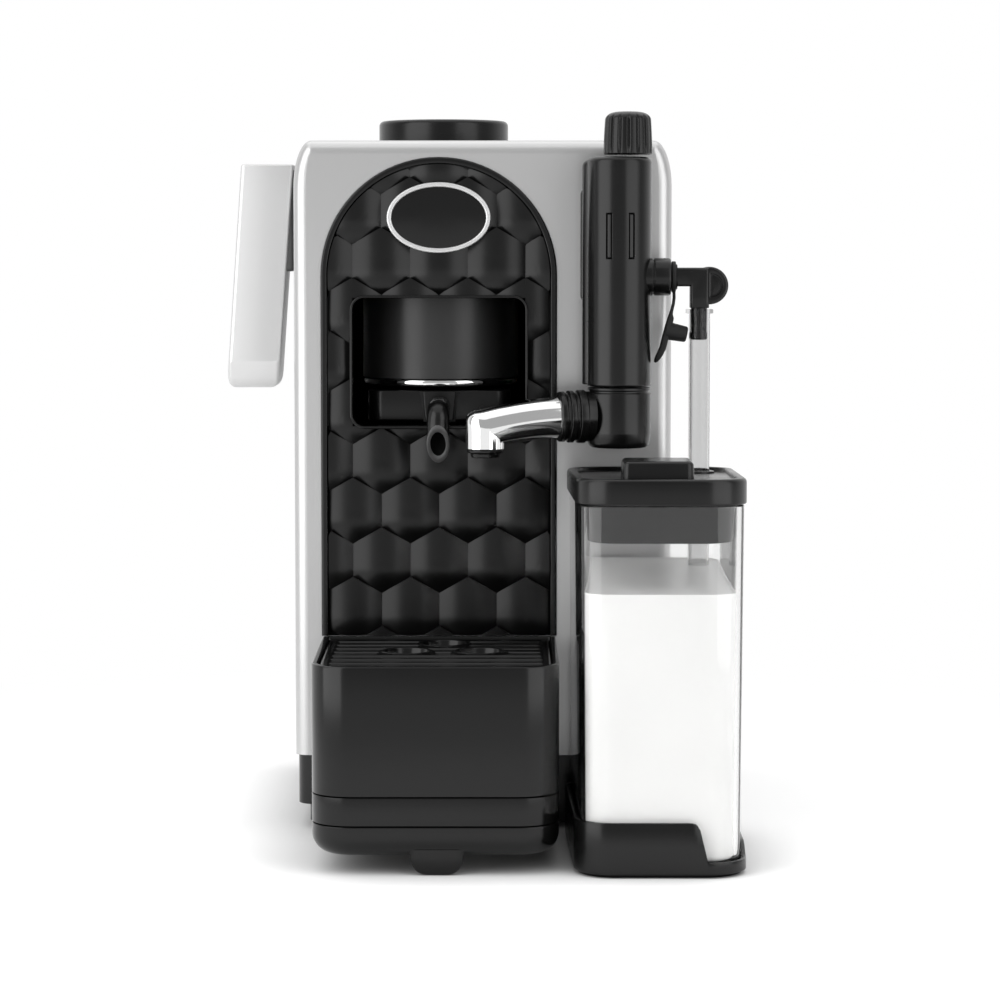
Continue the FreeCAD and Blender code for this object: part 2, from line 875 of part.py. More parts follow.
def rack_profile():
    """Side view of the rack: straight-flanked teeth on a bar, in mesh with the pinion at rest."""
    pitch_y = group_y - pinion_r
    pitch = math.pi * tooth_module
    half = (pitch / 2 - backlash) / 2
    slant = math.tan(math.radians(20))
    root_y = pitch_y - tooth_root
    tip_y = pitch_y + tooth_tip
    points = [V(panel_x - rack_w / 2, root_y - rack_back, head_top)]
    points.append(V(panel_x - rack_w / 2, root_y, head_top))
    for index in range(-rack_teeth_below, rack_teeth_above + 1):
        z = shaft_z + index * pitch
        for y, side in ((root_y, -1), (tip_y, -1), (tip_y, 1), (root_y, 1)):
            points.append(V(panel_x - rack_w / 2, y, z + side * (half - slant * (y - pitch_y))))
    top = shaft_z + (rack_teeth_above + 0.5) * pitch
    points.append(V(panel_x - rack_w / 2, root_y, top))
    points.append(V(panel_x - rack_w / 2, root_y - rack_back, top))
    return points


def head_rack():
    return prism(rack_profile(), V(rack_w, 0, 0))


def drive_pinion():
    """Straight-flanked teeth, with a gap between two of them facing the rack."""
    half = (math.pi * tooth_module / 2 - backlash) / 2
    slant = math.tan(math.radians(20))
    points = []
    for index in range(pinion_teeth):
        middle = math.pi + 2 * math.pi * (index + 0.5) / pinion_teeth
        for radius, side in ((pinion_r - tooth_root, -1), (pinion_r + tooth_tip, -1),
                             (pinion_r + tooth_tip, 1), (pinion_r - tooth_root, 1)):
            width = half - slant * (radius - pinion_r) * (1.4 if radius > pinion_r else 0.6)
            turn = middle + side * width / radius
            points.append(V(panel_x - pinion_w / 2, group_y + radius * math.cos(turn),
                            shaft_z + radius * math.sin(turn)))
    gear = prism(points, V(pinion_w, 0, 0))
    bore = rod(shaft_d / 2 + shaft_gap, V(panel_x - pinion_w, group_y, shaft_z),
               V(panel_x + pinion_w, group_y, shaft_z))
    return gear.cut(bore)


def lever_shaft():
    start = lever_x1 - lever_plate_w + shaft_end_wall
    end = panel_x + frame_w / 2 + bush_len / 2
    return rod(shaft_d / 2, V(start, group_y, shaft_z), V(end, group_y, shaft_z))


def side_lever():
    """A leaning paddle and the upright plate on its inner side that holds the shaft."""
    top_z = shaft_z + lever_rise
    y0 = group_y - lever_depth / 2
    low_x1 = lever_x1 - lever_out
    corners = [V(low_x1 - lever_w, y0, lever_tip_z), V(low_x1, y0, lever_tip_z),
               V(lever_x1, y0, top_z), V(lever_x1 - lever_w, y0, top_z)]
    paddle = prism(corners, V(0, lever_depth, 0))

    def long_edge(edge):
        return edge.BoundBox.ZLength > (top_z - lever_tip_z) / 2

    paddle = rounded_edges(paddle, lever_round, long_edge)
    plate_half = lever_depth / 2 - lever_plate_inset
    plate = box(lever_x1 - lever_plate_w, lever_x1, group_y - plate_half, group_y + plate_half,
                shaft_z - lever_plate_fall, top_z - lever_plate_inset)
    socket_x = lever_x1 - lever_plate_w + shaft_end_wall - seat_gap
    socket = rod(shaft_d / 2 + shaft_gap, V(socket_x, group_y, shaft_z), V(lever_x1 + over, group_y, shaft_z))
    return paddle.fuse(plate).cut(socket).removeSplitter()


def cheek_places():
    half = frame_w / 2
    return (panel_x - half, panel_x + half - frame_t)


def bush_span(cheek_x):
    middle = cheek_x + frame_t / 2
    return V(middle - bush_len / 2, group_y, shaft_z), V(middle + bush_len / 2, group_y, shaft_z)


def brew_frame():
    x0 = panel_x - frame_w / 2
    x1 = panel_x + frame_w / 2
    back = frame_back_y + frame_t
    frame = box(x0, x1, frame_back_y, back, shell_bottom, frame_top)
    pod_shelf = box(panel_x - holder_d / 2, panel_x + holder_d / 2, shelf_front, back,
                    holder_z0 - frame_t, holder_z0)
    roof = box(x0, x1, group_y + rod_back - rod_d, back, frame_top - frame_t, frame_top)
    tank_shelf = box(x0, x1, frame_back_y, tank_y1 - tank_corner, tank_z0 - frame_t, tank_z0)
    cheeks = [box(x, x + frame_t, cheek_front, back, cheek_bottom, frame_top) for x in cheek_places()]
    frame = frame.fuse([pod_shelf, roof, tank_shelf] + cheeks)
    for x in cheek_places():
        start, end = bush_span(x)
        frame = frame.cut(rod(shaft_d / 2 + shaft_gap + bush_wall + seat_gap, start, end))
    for x, y in rod_places():
        frame = frame.cut(turned(rod_d / 2 + shaft_gap, frame_top - 2 * frame_t, frame_top + over, x, y))
    hose_room = turned(hose_d / 2 + slide_gap, tank_z0 - 2 * frame_t, tank_z0 + over, hose_x, hose_y)
    return frame.cut(hose_room).removeSplitter()


def guide_rods():
    return Part.makeCompound([turned(rod_d / 2, rod_bottom, frame_top, x, y) for x, y in rod_places()])


def shaft_bushes():
    bore = shaft_d / 2 + shaft_gap
    return Part.makeCompound([tube(bore + bush_wall, bore, *bush_span(x)) for x in cheek_places()])


def pod_holder():
    """Holder's body, flat on top, with the drain and the channel to the spout."""
    seat_z = holder_z1 - seat_depth
    holder = turned(holder_d / 2, holder_z0, seat_z, panel_x, group_y)
    drain = turned(drain_d / 2, spout_axis_z, seat_z + over, panel_x, group_y)
    front = group_y - holder_d / 2
    channel_end = V(panel_x, group_y + drain_d / 2, spout_axis_z)
    channel = rod(spout_bore / 2, V(panel_x, front, spout_axis_z), channel_end)
    socket = rod(spout_od / 2 + seat_gap, V(panel_x, front - over, spout_axis_z),
                 V(panel_x, front + spout_root, spout_axis_z))
    return holder.cut([drain, channel, socket])


def pod_rim():
    """Ring on the holder that centres the pod."""
    return ring_round_group(holder_d, pod_d + 2 * pod_play, holder_z1 - seat_depth, holder_z1)


def coffee_spout():
    root = V(panel_x, group_y - holder_d / 2 + spout_root, spout_axis_z)
    knee = V(panel_x, -spout_knee, spout_axis_z)
    tip = V(panel_x, -spout_reach, spout_tip_z)
    points = [root, knee, tip]
    return swept(points, spout_bend, spout_od / 2).cut(swept(points, spout_bend, spout_bore / 2))


# Drip tray
def inset_tray(inset, z0, z1):
    """The tray's plan, drawn in by a margin."""
    front = max(tray_corner - inset, 1)
    back = max(tray_back_corner - inset, 1)
    return rounded_block(tray_x0 + inset, tray_x1 - inset, tray_y0 + inset, tray_y1 - inset, z0, z1,
                         (front, front, back, back))


def tray_box():
    floor_z = tray_seam_high + tray_floor
    well = inset_tray(tray_wall + tray_ledge, floor_z, tray_top + over)
    mouth = inset_tray(tray_wall, grille_z0, tray_top + over)
    return inset_tray(0, tray_seam_high, tray_top).cut([well, mouth])


def tray_band():
    inner = inset_tray(tray_wall, tray_seam_low - over, tray_seam_high + over)
    return inset_tray(0, tray_seam_low, tray_seam_high).cut(inner)


def tray_pan():
    """The bottom pan, with the pull tab under its front edge."""
    pan = rounded_edges(inset_tray(0, tray_z0, tray_seam_low), tray_foot_round, at_height(tray_z0))
    top_z = tray_z0 + tray_floor
    y = tray_y0 + tab_setback
    corners = [V(panel_x - tab_w_top / 2, y, top_z), V(panel_x - tab_w_low / 2, y, tab_z0),
               V(panel_x + tab_w_low / 2, y, tab_z0), V(panel_x + tab_w_top / 2, y, top_z)]
    tab = prism(corners, V(0, tab_t, 0))
    inner = inset_tray(tray_foot_round, top_z, tray_seam_low + over)
    return pan.fuse(tab).cut(inner).removeSplitter()


def drain_places():
    places = []
    for turn in (90, 210, 330):
        angle = math.radians(turn)
        x = panel_x + drain_shift + drain_ring * math.cos(angle)
        places.append((x, drain_y + drain_ring * math.sin(angle)))
    return places


def drip_grille():
    plate = inset_tray(tray_wall + slide_gap, grille_z0, grille_z0 + grille_t)
    low = grille_z0 - over
    high = grille_z0 + grille_t + over
    middle_y = (tray_y0 + tray_y1) / 2
    land = [turned(drain_hole_d / 2 + drain_land, low, high, x, y) for x, y in drain_places()]
    reach = tray_w / 2 - tray_wall - slot_margin
    for index in range(slot_count):
        y = middle_y + (index - (slot_count - 1) / 2) * slot_pitch
        slot = rounded_block(panel_x - reach, panel_x + reach, y - slot_w / 2, y + slot_w / 2, low, high,
                             slot_w / 2 - 0.01)
        plate = plate.cut(slot.cut(land))
    return plate.cut([turned(drain_hole_d / 2, low, high, x, y) for x, y in drain_places()])


# Water tank and filler lid
def tank_block(inset, z0, z1):
    """The tank's plan, drawn in by a margin."""
    return rounded_block(tank_x0 + inset, tank_x1 - inset, tank_front + inset, tank_y1 - inset,
                         z0, z1, tank_corner - inset)


def water_tank():
    outer = tank_block(0, tank_z0, tank_cover_z)
    inner = tank_block(tank_wall, tank_z0 + tank_wall, tank_cover_z + over)
    outlet = turned(hose_bore / 2, tank_z0 - over, tank_z0 + 2 * tank_wall, hose_x, hose_y)
    return outer.cut([inner, outlet])


def tank_cover():
    """Plate on the tank with the neck that the filler lid plugs."""
    plate = tank_block(0, tank_cover_z, tank_z1)
    neck_top = body_top - shell_wall - seat_gap
    neck = turned(neck_bore / 2 + tank_wall, tank_cover_z, neck_top, tank_x, filler_y)
    mouth = turned(neck_bore / 2, tank_cover_z - over, neck_top + over, tank_x, filler_y)
    return plate.fuse(neck).cut(mouth).removeSplitter()


def tank_lid():
    seat_z = body_top + slide_gap
    disc = turned(lid_d / 2, seat_z, lid_top, tank_x, filler_y)
    disc = rounded_edges(disc, lid_round, at_height(lid_top))
    plug = turned(plug_ring_r, seat_z - lid_plug_h, seat_z, tank_x, filler_y)
    hollow = turned(plug_ring_r - lid_wall, seat_z - lid_plug_h - over, seat_z, tank_x, filler_y)
    return disc.fuse(plug).cut(hollow).removeSplitter()


def lid_seal():
    z0 = body_top + slide_gap - lid_plug_h
    start = V(tank_x, filler_y, z0)
    return tube(neck_bore / 2 - slide_gap, plug_ring_r + seat_gap, start, start + V(0, 0, seal_h))


# Pump, boiler, board and pipes
def pump():
    start = V(works_x, pump_front, pump_z)
    end = V(works_x, pump_back, pump_z)
    reach = V(0, spigot_len, 0)
    barrel = rod(pump_d / 2, start, end)
    inlet = rod(hose_bore / 2 - shaft_gap, end, end + reach)
    return barrel.fuse(inlet).removeSplitter()


def pump_mounts():
    mounts = []
    barrel = rod(pump_d / 2, V(works_x, pump_front, pump_z), V(works_x, pump_back, pump_z))
    for y in pump_mount_places():
        block = box(works_x - mount_w, works_x + mount_w, y - mount_w / 2, y + mount_w / 2,
                    pump_z - pump_d / 2 - mount_w, pump_z - pump_d / 4)
        mounts.append(block.cut(barrel))
    return Part.makeCompound(mounts)


def boiler():
    flange = turned(boiler_flange_d / 2, shell_bottom, shell_bottom + boiler_flange_h, works_x, boiler_y)
    can = turned(boiler_d / 2, shell_bottom, shell_bottom + boiler_h, works_x, boiler_y)
    socket = rod(pipe_d / 2 + seat_gap, V(works_x, 0, pipe_rise), V(works_x, boiler_inlet_y, pipe_rise))
    return flange.fuse(can).cut(socket).removeSplitter()


def pressure_pipe():
    front = pump_front - pipe_bend - pipe_lead
    points = [V(works_x, pump_front, pump_z), V(works_x, front, pump_z), V(works_x, front, pipe_rise),
              V(works_x, boiler_inlet_y, pipe_rise)]
    return swept(points, pipe_bend, pipe_d / 2)


def steam_pipe():
    points = [V(works_x, boiler_y, shell_bottom + boiler_h), V(works_x, boiler_y, steam_z),
              V(works_x, -bracket_t / 2, steam_z)]
    return swept(points, pipe_bend, pipe_d / 2)


def water_hose():
    points = [V(hose_x, hose_y, tank_z0), V(hose_x, hose_y, pump_z), V(works_x, hose_y, pump_z),
              V(works_x, pump_back, pump_z)]
    return swept(points, hose_bend, hose_d / 2).cut(swept(points, hose_bend, hose_bore / 2))


def control_board():
    x1 = inner_half - board_gap
    board = box(x1 - board_t, x1, board_front, board_back, board_low, board_high)
    pieces = [board]
    span_y = (board_back - board_front) / 5
    span_z = (board_high - board_low) / 5
    for row, column in ((1, 1), (1, 3), (3, 1), (3, 3)):
        y = board_front + column * span_y
        z = board_low + row * span_z
        pieces.append(box(x1 - board_t - chip_h, x1 - board_t, y, y + span_y, z, z + span_z))
    return Part.makeCompound(pieces)


# Back of the housing
def mains_inlet():
    x0 = inlet_x - inlet_w / 2
    x1 = inlet_x + inlet_w / 2
    z0 = inlet_z - inlet_h / 2
    z1 = inlet_z + inlet_h / 2
    body = front_block(x0, x1, z0, z1, body_d - inlet_depth, body_d + inlet_flange_t, inlet_wall)
    flange = front_block(x0 - inlet_flange, x1 + inlet_flange, z0 - inlet_flange, z1 + inlet_flange,
                         body_d, body_d + inlet_flange_t, inlet_wall)
    floor_y = body_d - inlet_depth + inlet_wall
    well = front_block(x0 + inlet_wall, x1 - inlet_wall, z0 + inlet_wall, z1 - inlet_wall,
                       floor_y, body_d + inlet_flange_t + over, inlet_wall / 2)
    pieces = [body.fuse(flange).cut(well).removeSplitter()]
    low_z = z0 + 2 * inlet_wall
    for x in (inlet_x - inlet_w / 4, inlet_x, inlet_x + inlet_w / 4):
        pieces.append(box(x - pin_w / 2, x + pin_w / 2, floor_y, floor_y + pin_len, low_z, low_z + pin_h))
    return Part.makeCompound(pieces)


def power_switch():
    """A rocker at its off position, half its throw to one side."""
    rocker = box(switch_x - switch_w / 2, switch_x + switch_w / 2,
                 body_d - cover_t - switch_back, body_d + switch_proud,
                 switch_z - switch_h / 2, switch_z + switch_h / 2)
    rocker.rotate(V(switch_x, body_d - cover_t / 2, switch_z), X_AXIS, switch_throw / 2)
    return rocker


def push_button(x, y):
    under = body_top - shell_wall
    cap = turned(button_d / 2, under - slide_gap, body_top + button_proud, x, y)
    flange_z = under - slide_gap - button_flange_t
    flange = turned(button_d / 2 + button_flange, flange_z, under - slide_gap, x, y)
    return cap.fuse(flange).removeSplitter()


# Milk frother
def frother_bracket():
    plate = front_block(bracket_x0, bracket_x1, bracket_z0, bracket_z1, -bracket_t, 0, bracket_round)
    neck = box(frother_x - bracket_neck / 2, frother_x + bracket_neck / 2, frother_y, -bracket_t / 2,
               bracket_z0 + bracket_round, bracket_z1 - bracket_round)
    room = turned(barrel_d / 2 + seat_gap, barrel_z0, barrel_z1, frother_x, frother_y)
    socket_end = V(works_x, -bracket_t / 2 - seat_gap, steam_z)
    socket = rod(pipe_d / 2 + seat_gap, socket_end, V(works_x, over, steam_z))
    return plate.fuse(neck).cut([room, socket]).removeSplitter()


def frother_barrel():
    barrel = turned(barrel_d / 2, barrel_z0, barrel_z1, frother_x, frother_y)
    barrel = rounded_edges(barrel, barrel_round, at_height(barrel_z1))
    face_y = frother_y - math.sqrt((barrel_d / 2) ** 2 - groove_half_span ** 2)
    cuts = []
    for side in (-1, 1):
        x = frother_x + side * groove_half_span
        cuts.append(box(x - groove_w / 2, x + groove_w / 2, frother_y - barrel_d, face_y + groove_depth,
                        groove_z0, groove_z1))
    stem_z = barrel_z1 - stem_len - over
    spigot_z = barrel_z0 + spigot_h + over
    cuts.append(turned(stem_d / 2 + shaft_gap, stem_z, barrel_z1 + over, knob_x, frother_y))
    cuts.append(turned(spigot_r + shaft_gap, barrel_z0 - over, spigot_z, frother_x, frother_y))
    cuts.append(rod(port_d / 2 + seat_gap, V(port_x0, frother_y, port_z), V(port_x1, frother_y, port_z)))
    return barrel.cut(cuts)


def frother_port():
    axis = [V(x, frother_y, port_z) for x in (port_x0, port_x1, port_x1 + port_neck_len, port_x2)]
    body = rod(port_d / 2, axis[0], axis[1])
    neck = rod(port_neck_d / 2, axis[1], axis[2])
    flange = rod(port_d / 2, axis[2], axis[3])
    bore = rod(elbow_d / 2 + port_fit, V(port_x2 - elbow_plug - port_end_gap, frother_y, port_z), axis[3])
    return body.fuse([neck, flange]).cut(bore).removeSplitter()


def frother_knob():
    """A domed, ribbed knob on a short stem."""
    knob = rounded_edges(turned(knob_d / 2 - rib_r / 2, knob_z0, knob_top, knob_x, frother_y),
                         knob_round, at_height(knob_top))
    ribs = []
    for index in range(knob_ribs):
        turn = 2 * math.pi * index / knob_ribs
        x = knob_x + (knob_d / 2 - rib_r) * math.cos(turn)
        y = frother_y + (knob_d / 2 - rib_r) * math.sin(turn)
        ribs.append(turned(rib_r, knob_z0, knob_top - knob_round - rib_r, x, y))
    stem = turned(stem_d / 2, barrel_z1 - stem_len, knob_z0, knob_x, frother_y)
    return knob.fuse(ribs + [stem]).removeSplitter()


# Swivelling milk spout
def along_arm(reach, z):
    turn = math.radians(swing_angle)
    return V(frother_x - reach * math.cos(turn), frother_y - reach * math.sin(turn), z)


def swivel_head():
    head = turned(barrel_d / 2, swivel_z0, barrel_z0 - swivel_gap, frother_x, frother_y)
    head = rounded_edges(head, swivel_round, at_height(swivel_z0))
    spigot = turned(spigot_r, barrel_z0 - swivel_gap, barrel_z0 + spigot_h, frother_x, frother_y)
    return head.fuse(spigot).removeSplitter()


def spout_collar():
    collar = rod(collar_d / 2, along_arm(0, arm_z), along_arm(collar_end, arm_z))
    groove_end = collar_end - collar_ring_w
    groove = tube(collar_d / 2 + over, collar_d / 2 - collar_ring_step,
                  along_arm(groove_end - collar_ring_w, arm_z), along_arm(groove_end, arm_z))
    room = turned(barrel_d / 2 + seat_gap, swivel_z0 - over, barrel_z0 + over, frother_x, frother_y)
    socket_end = along_arm(collar_end - arm_root, arm_z)
    socket = rod(arm_d / 2 + seat_gap, socket_end, along_arm(collar_end + over, arm_z))
    return collar.cut([groove, room, socket])


def arm_points():
    return [along_arm(collar_end - arm_root, arm_z), along_arm(arm_crest, arm_z),
            along_arm(arm_reach, arm_slope_end), along_arm(arm_reach, arm_tip_z)]


def chrome_spout():
    points = arm_points()
    return swept(points, arm_bend, arm_d / 2).cut(swept(points, arm_bend, arm_bore / 2))


def outlet_ring():
    top = along_arm(arm_reach, arm_tip_z)
    return tube(arm_d / 2 - seat_gap, arm_d / 2 - outlet_wall, top - V(0, 0, outlet_h), top)


# Milk port fittings
def tube_elbow():
    disc_x = tube_x + elbow_shift
    disc_z = port_z - elbow_drop
    y0 = frother_y - elbow_disc_t / 2
    y1 = frother_y + elbow_disc_t / 2
    arm = rod(elbow_d / 2, V(port_x2 - elbow_plug, frother_y, port_z), V(disc_x, frother_y, port_z))
    disc = rod(elbow_disc_d / 2, V(disc_x, y0, disc_z), V(disc_x, y1, disc_z))
    leg = turned(tube_od / 2, tube_top, disc_z, tube_x, frother_y)
    barb = turned(barb_d / 2, tube_top - barb_len, tube_top, tube_x, frother_y)
    hollow_r = elbow_disc_d / 2 - elbow_disc_rim
    hollow = rod(hollow_r, V(disc_x, y0 - over, disc_z), V(disc_x, y0 + elbow_disc_rim, disc_z))
    bar = box(disc_x - hollow_r, disc_x, y0 - over, y0 + elbow_disc_rim,
              disc_z - hollow_r, disc_z + hollow_r)
    return arm.fuse([disc, leg, barb]).cut(hollow.cut(bar)).removeSplitter()


def milk_tube():
    foot = V(tube_x, frother_y, cradle_floor + jug_wall + tube_foot_gap)
    return tube(tube_od / 2, tube_bore / 2, foot, V(tube_x, frother_y, tube_top))


def port_stopper():
    """A ring round the port's neck, with a strap that hangs down and carries a tapered plug."""
    x0 = port_x1 + slide_gap
    x1 = port_x1 + port_neck_len - slide_gap
    bore = port_neck_d / 2 + slide_gap
    ring = tube(bore + stopper_ring_wall, bore, V(x0, frother_y, port_z), V(x1, frother_y, port_z))
    top_z = port_z - bore - stopper_ring_wall / 4
    bend_z = port_z - port_d / 2 - strap_t
    y = frother_y - strap_w / 2
    strap = prism([V(x0, y, top_z), V(x0, y, bend_z), V(x0 - strap_lean, y, strap_tip_z),
                   V(x0 - strap_lean + strap_t, y, strap_tip_z), V(x0 + strap_t, y, bend_z),
                   V(x0 + strap_t, y, top_z)], V(0, strap_w, 0))
    share = (bend_z - plug_z) / (bend_z - strap_tip_z)
    plug_x = x0 - strap_lean * share + strap_t / 2
    plug_start = V(plug_x, frother_y, plug_z)
    plug = Part.makeCone(plug_d / 2, plug_d / 2 * plug_taper, plug_len, plug_start, X_AXIS)
    return ring.fuse([strap, plug]).removeSplitter()


# Milk jug
def jug_plan(inset, z, corner):
    face = rounded_face(jug_lid_x0 + inset, jug_lid_x1 - inset, jug_lid_front + inset, jug_lid_y1 - inset,
                        (max(corner, 1),) * 4, on_plan)
    face.translate(V(0, 0, z))
    return face


def jug_block(inset, z0, z1, corner):
    return jug_plan(inset, z0, corner).extrude(V(0, 0, z1 - z0))


def jug_taper(wall, z0, z1):
    low = jug_plan(jug_side + jug_draft + wall, z0, jug_corner - wall).OuterWire
    high = jug_plan(jug_side + wall, z1, jug_corner - wall).OuterWire
    return Part.makeLoft([low, high], True, True)


def milk_jug():
    inside = jug_taper(jug_wall, cradle_floor + jug_wall, jug_lid_z0)
    return jug_taper(0, cradle_floor, jug_lid_z0).cut(inside)


def jug_lid():
    """A rimmed cap with a skirt that plugs into the jug, a hole for the tube and a grip."""
    deck_z = jug_lid_z1 - jug_lid_sink
    skirt_inset = jug_side + jug_wall + slide_gap
    skirt_corner = jug_corner - jug_wall - slide_gap
    cap = jug_block(0, jug_lid_z0, jug_lid_z1, jug_lid_corner)
    recess = jug_block(jug_lid_rim, deck_z, jug_lid_z1 + over, jug_lid_corner - jug_lid_rim)
    skirt = jug_block(skirt_inset, skirt_z0, jug_lid_z0, skirt_corner)
    under = jug_block(skirt_inset + skirt_wall, skirt_z0 - over, deck_z - jug_lid_deck,
                      skirt_corner - skirt_wall)
    middle_x = (jug_lid_x0 + jug_lid_x1) / 2
    grip_y0 = jug_lid_front + grip_front
    grip = rounded_block(middle_x - grip_w / 2, middle_x + grip_w / 2, grip_y0, grip_y0 + grip_len,
                         deck_z, grip_top, grip_round)
    grip = rounded_edges(grip, grip_round / 2, at_height(grip_top))
    hole = turned(tube_od / 2 + seat_gap, skirt_z0, jug_lid_z1 + over, tube_x, frother_y)
    return cap.cut(recess).fuse([skirt, grip]).cut([under, hole]).removeSplitter()


def jug_cradle():
    """A low tray under the jug, lower along its right side and lowest at the front right corner."""
    inner = jug_side + jug_draft - cradle_side
    outer = inner - cradle_wall
    corner = jug_corner + cradle_side
    shell = jug_block(outer, 0, cradle_h, corner + cradle_wall)
    shell = shell.cut(jug_block(inner, cradle_floor, cradle_h + over, corner))
    x1 = jug_lid_x1 - outer
    y0 = jug_lid_front + outer
    y1 = jug_lid_y1 - outer
    x = x1 - cradle_notch_w
    notch = prism([V(x, y0 - over, cradle_low), V(x, y0 + cradle_notch_len / 2, cradle_low),
                   V(x, y0 + cradle_notch_len, cradle_side_h), V(x, y1 + over, cradle_side_h),
                   V(x, y1 + over, cradle_h + over), V(x, y0 - over, cradle_h + over)],
                  V(cradle_notch_w + over, 0, 0))
    return shell.cut(notch).removeSplitter()


nodes = {
    "base_chassis": base_chassis(),
    "rubber_feet": rubber_feet(),
    "body_shell": body_shell(),
    "rear_cover": rear_cover(),
    "case_screws": case_screws(),
    "panel_bezel": panel_bezel(),
    "honeycomb_panel": honeycomb_panel(),
    "window_frame": window_frame(),
    "badge_rim": badge_rim(),
    "badge_plate": badge_plate(),
    "brew_frame": brew_frame(),
    "guide_rods": guide_rods(),
    "shaft_bushes": shaft_bushes(),
    "pod_holder": pod_holder(),
    "pod_rim": pod_rim(),
    "coffee_spout": coffee_spout(),
    "water_tank": water_tank(),
    "tank_cover": tank_cover(),
    "pump": pump(),
    "pump_mounts": pump_mounts(),
    "boiler": boiler(),
    "control_board": control_board(),
    "pressure_pipe": pressure_pipe(),
    "steam_pipe": steam_pipe(),
    "water_hose": water_hose(),
    "mains_inlet": mains_inlet(),
    "frother_bracket": frother_bracket(),
    "frother_barrel": frother_barrel(),
    "frother_port": frother_port(),
    "side_lever": side_lever(),
    "lever_shaft": lever_shaft(),
    "drive_pinion": drive_pinion(),
    "brew_head": brew_head(),
    "head_rack": head_rack(),
    "head_ring": head_ring(),
    "head_gasket": head_gasket(),
    "shower_screen": shower_screen(),
    "tray_box": tray_box(),
    "tray_band": tray_band(),
    "tray_pan": tray_pan(),
    "drip_grille": drip_grille(),
    "tank_lid": tank_lid(),
    "lid_seal": lid_seal(),
    "frother_knob": frother_knob(),
    "swivel_head": swivel_head(),
    "spout_collar": spout_collar(),
    "chrome_spout": chrome_spout(),
    "outlet_ring": outlet_ring(),
    "jug_cradle": jug_cradle(),
    "milk_jug": milk_jug(),
    "jug_lid": jug_lid(),
    "milk_tube": milk_tube(),
    "tube_elbow": tube_elbow(),
    "port_stopper": port_stopper(),
    "brew_button": push_button(*button_places()[0]),
    "steam_button": push_button(*button_places()[1]),
    "power_switch": power_switch(),
}

# The origin is the middle of the footprint, on the counter.
whole = Part.makeCompound(list(nodes.values())).optimalBoundingBox(False, False)
to_origin = V(-whole.Center.x, -whole.Center.y, -whole.ZMin)
print("moved by", tuple(round(value, 4) for value in to_origin))
print("size", round(whole.XLength, 3), round(whole.YLength, 3), round(whole.ZLength, 3))
os.makedirs("parts", exist_ok=True)
for name, shape in nodes.items():
    shape.translate(to_origin)
    shape.exportStep(f"parts/{name}.step")
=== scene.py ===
import json
import math
import bpy
import numpy as np
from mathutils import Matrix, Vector


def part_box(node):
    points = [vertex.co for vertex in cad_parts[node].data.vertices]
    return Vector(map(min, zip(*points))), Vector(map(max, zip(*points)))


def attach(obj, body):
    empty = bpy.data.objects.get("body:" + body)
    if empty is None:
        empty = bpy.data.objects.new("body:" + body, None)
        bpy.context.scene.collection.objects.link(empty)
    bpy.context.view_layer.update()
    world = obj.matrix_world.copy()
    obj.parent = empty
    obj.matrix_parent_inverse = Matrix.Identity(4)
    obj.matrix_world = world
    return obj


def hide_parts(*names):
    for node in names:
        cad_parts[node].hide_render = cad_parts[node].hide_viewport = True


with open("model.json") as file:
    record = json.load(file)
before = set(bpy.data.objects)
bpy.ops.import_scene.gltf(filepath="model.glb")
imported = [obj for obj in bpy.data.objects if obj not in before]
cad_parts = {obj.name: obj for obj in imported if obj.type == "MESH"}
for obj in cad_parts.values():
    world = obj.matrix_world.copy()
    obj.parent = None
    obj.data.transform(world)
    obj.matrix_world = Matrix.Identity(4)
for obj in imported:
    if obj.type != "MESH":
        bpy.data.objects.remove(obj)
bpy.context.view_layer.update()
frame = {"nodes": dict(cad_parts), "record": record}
nodes = frame["nodes"]
scene = bpy.context.scene
scene.view_settings.view_transform = "Standard"

mm = 0.001
shellLow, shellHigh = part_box("body_shell")
bodyMid = (shellLow.x + shellHigh.x) / 2  # middle of the housing, left to right
faceY = shellLow.y  # front face of the housing
hairRound, softRound = 0.0006, 0.6  # least corner radius of a hard and of a soft loft
farAway, tiny = 1e3, 1e-6
print("frame loaded:", len(nodes), "nodes")


# Helpers. Every new piece is a grid of points [rows, columns, 3], worked out in millimetres.

def pick(values, names):
    return [values[name] for name in names.split()]


def span(low, high):
    # middle and half length
    return (low + high) / 2, (high - low) / 2


def place(x, y, z):
    # millimetres from the housing's middle, its front face and the counter, to metres in the frame
    x, y, z = np.broadcast_arrays(np.asarray(x, float), np.asarray(y, float), np.asarray(z, float))
    return np.stack([bodyMid + x * mm, faceY + y * mm, z * mm], axis=-1)


def around(turns):
    # evenly spaced angles of a full turn
    return np.linspace(0, 2 * math.pi, turns, endpoint=False)


def compass(turn):
    # unit directions at the given angles
    return np.stack([np.cos(turn), np.sin(turn)], axis=-1)


def ramp(values, start, end):
    # 0 at start, 1 at end, straight between
    return np.clip((values - start) / (end - start), 0, 1)


def gridFaces(rows, columns, wrapRows, wrapColumns, start=0):
    # quads between neighbouring grid points, as one index array
    row = np.arange(rows if wrapRows else rows - 1)[:, None]
    column = np.arange(columns if wrapColumns else columns - 1)
    nextRow, nextColumn = (row + 1) % rows, (column + 1) % columns
    corners = ((row, column), (row, nextColumn), (nextRow, nextColumn), (nextRow, column))
    return np.stack([(r * columns + c).ravel() for r, c in corners], axis=1) + start


def outward(points, faces):
    # turns the faces over where the closed surface's signed volume is negative
    volume = 0.0
    for group in faces:
        p = points[group]
        for k in range(1, group.shape[1] - 1):
            volume += np.einsum("ij,ij->", p[:, 0], np.cross(p[:, k], p[:, k + 1]))
    return [group[:, ::-1] for group in faces] if volume < 0 else faces


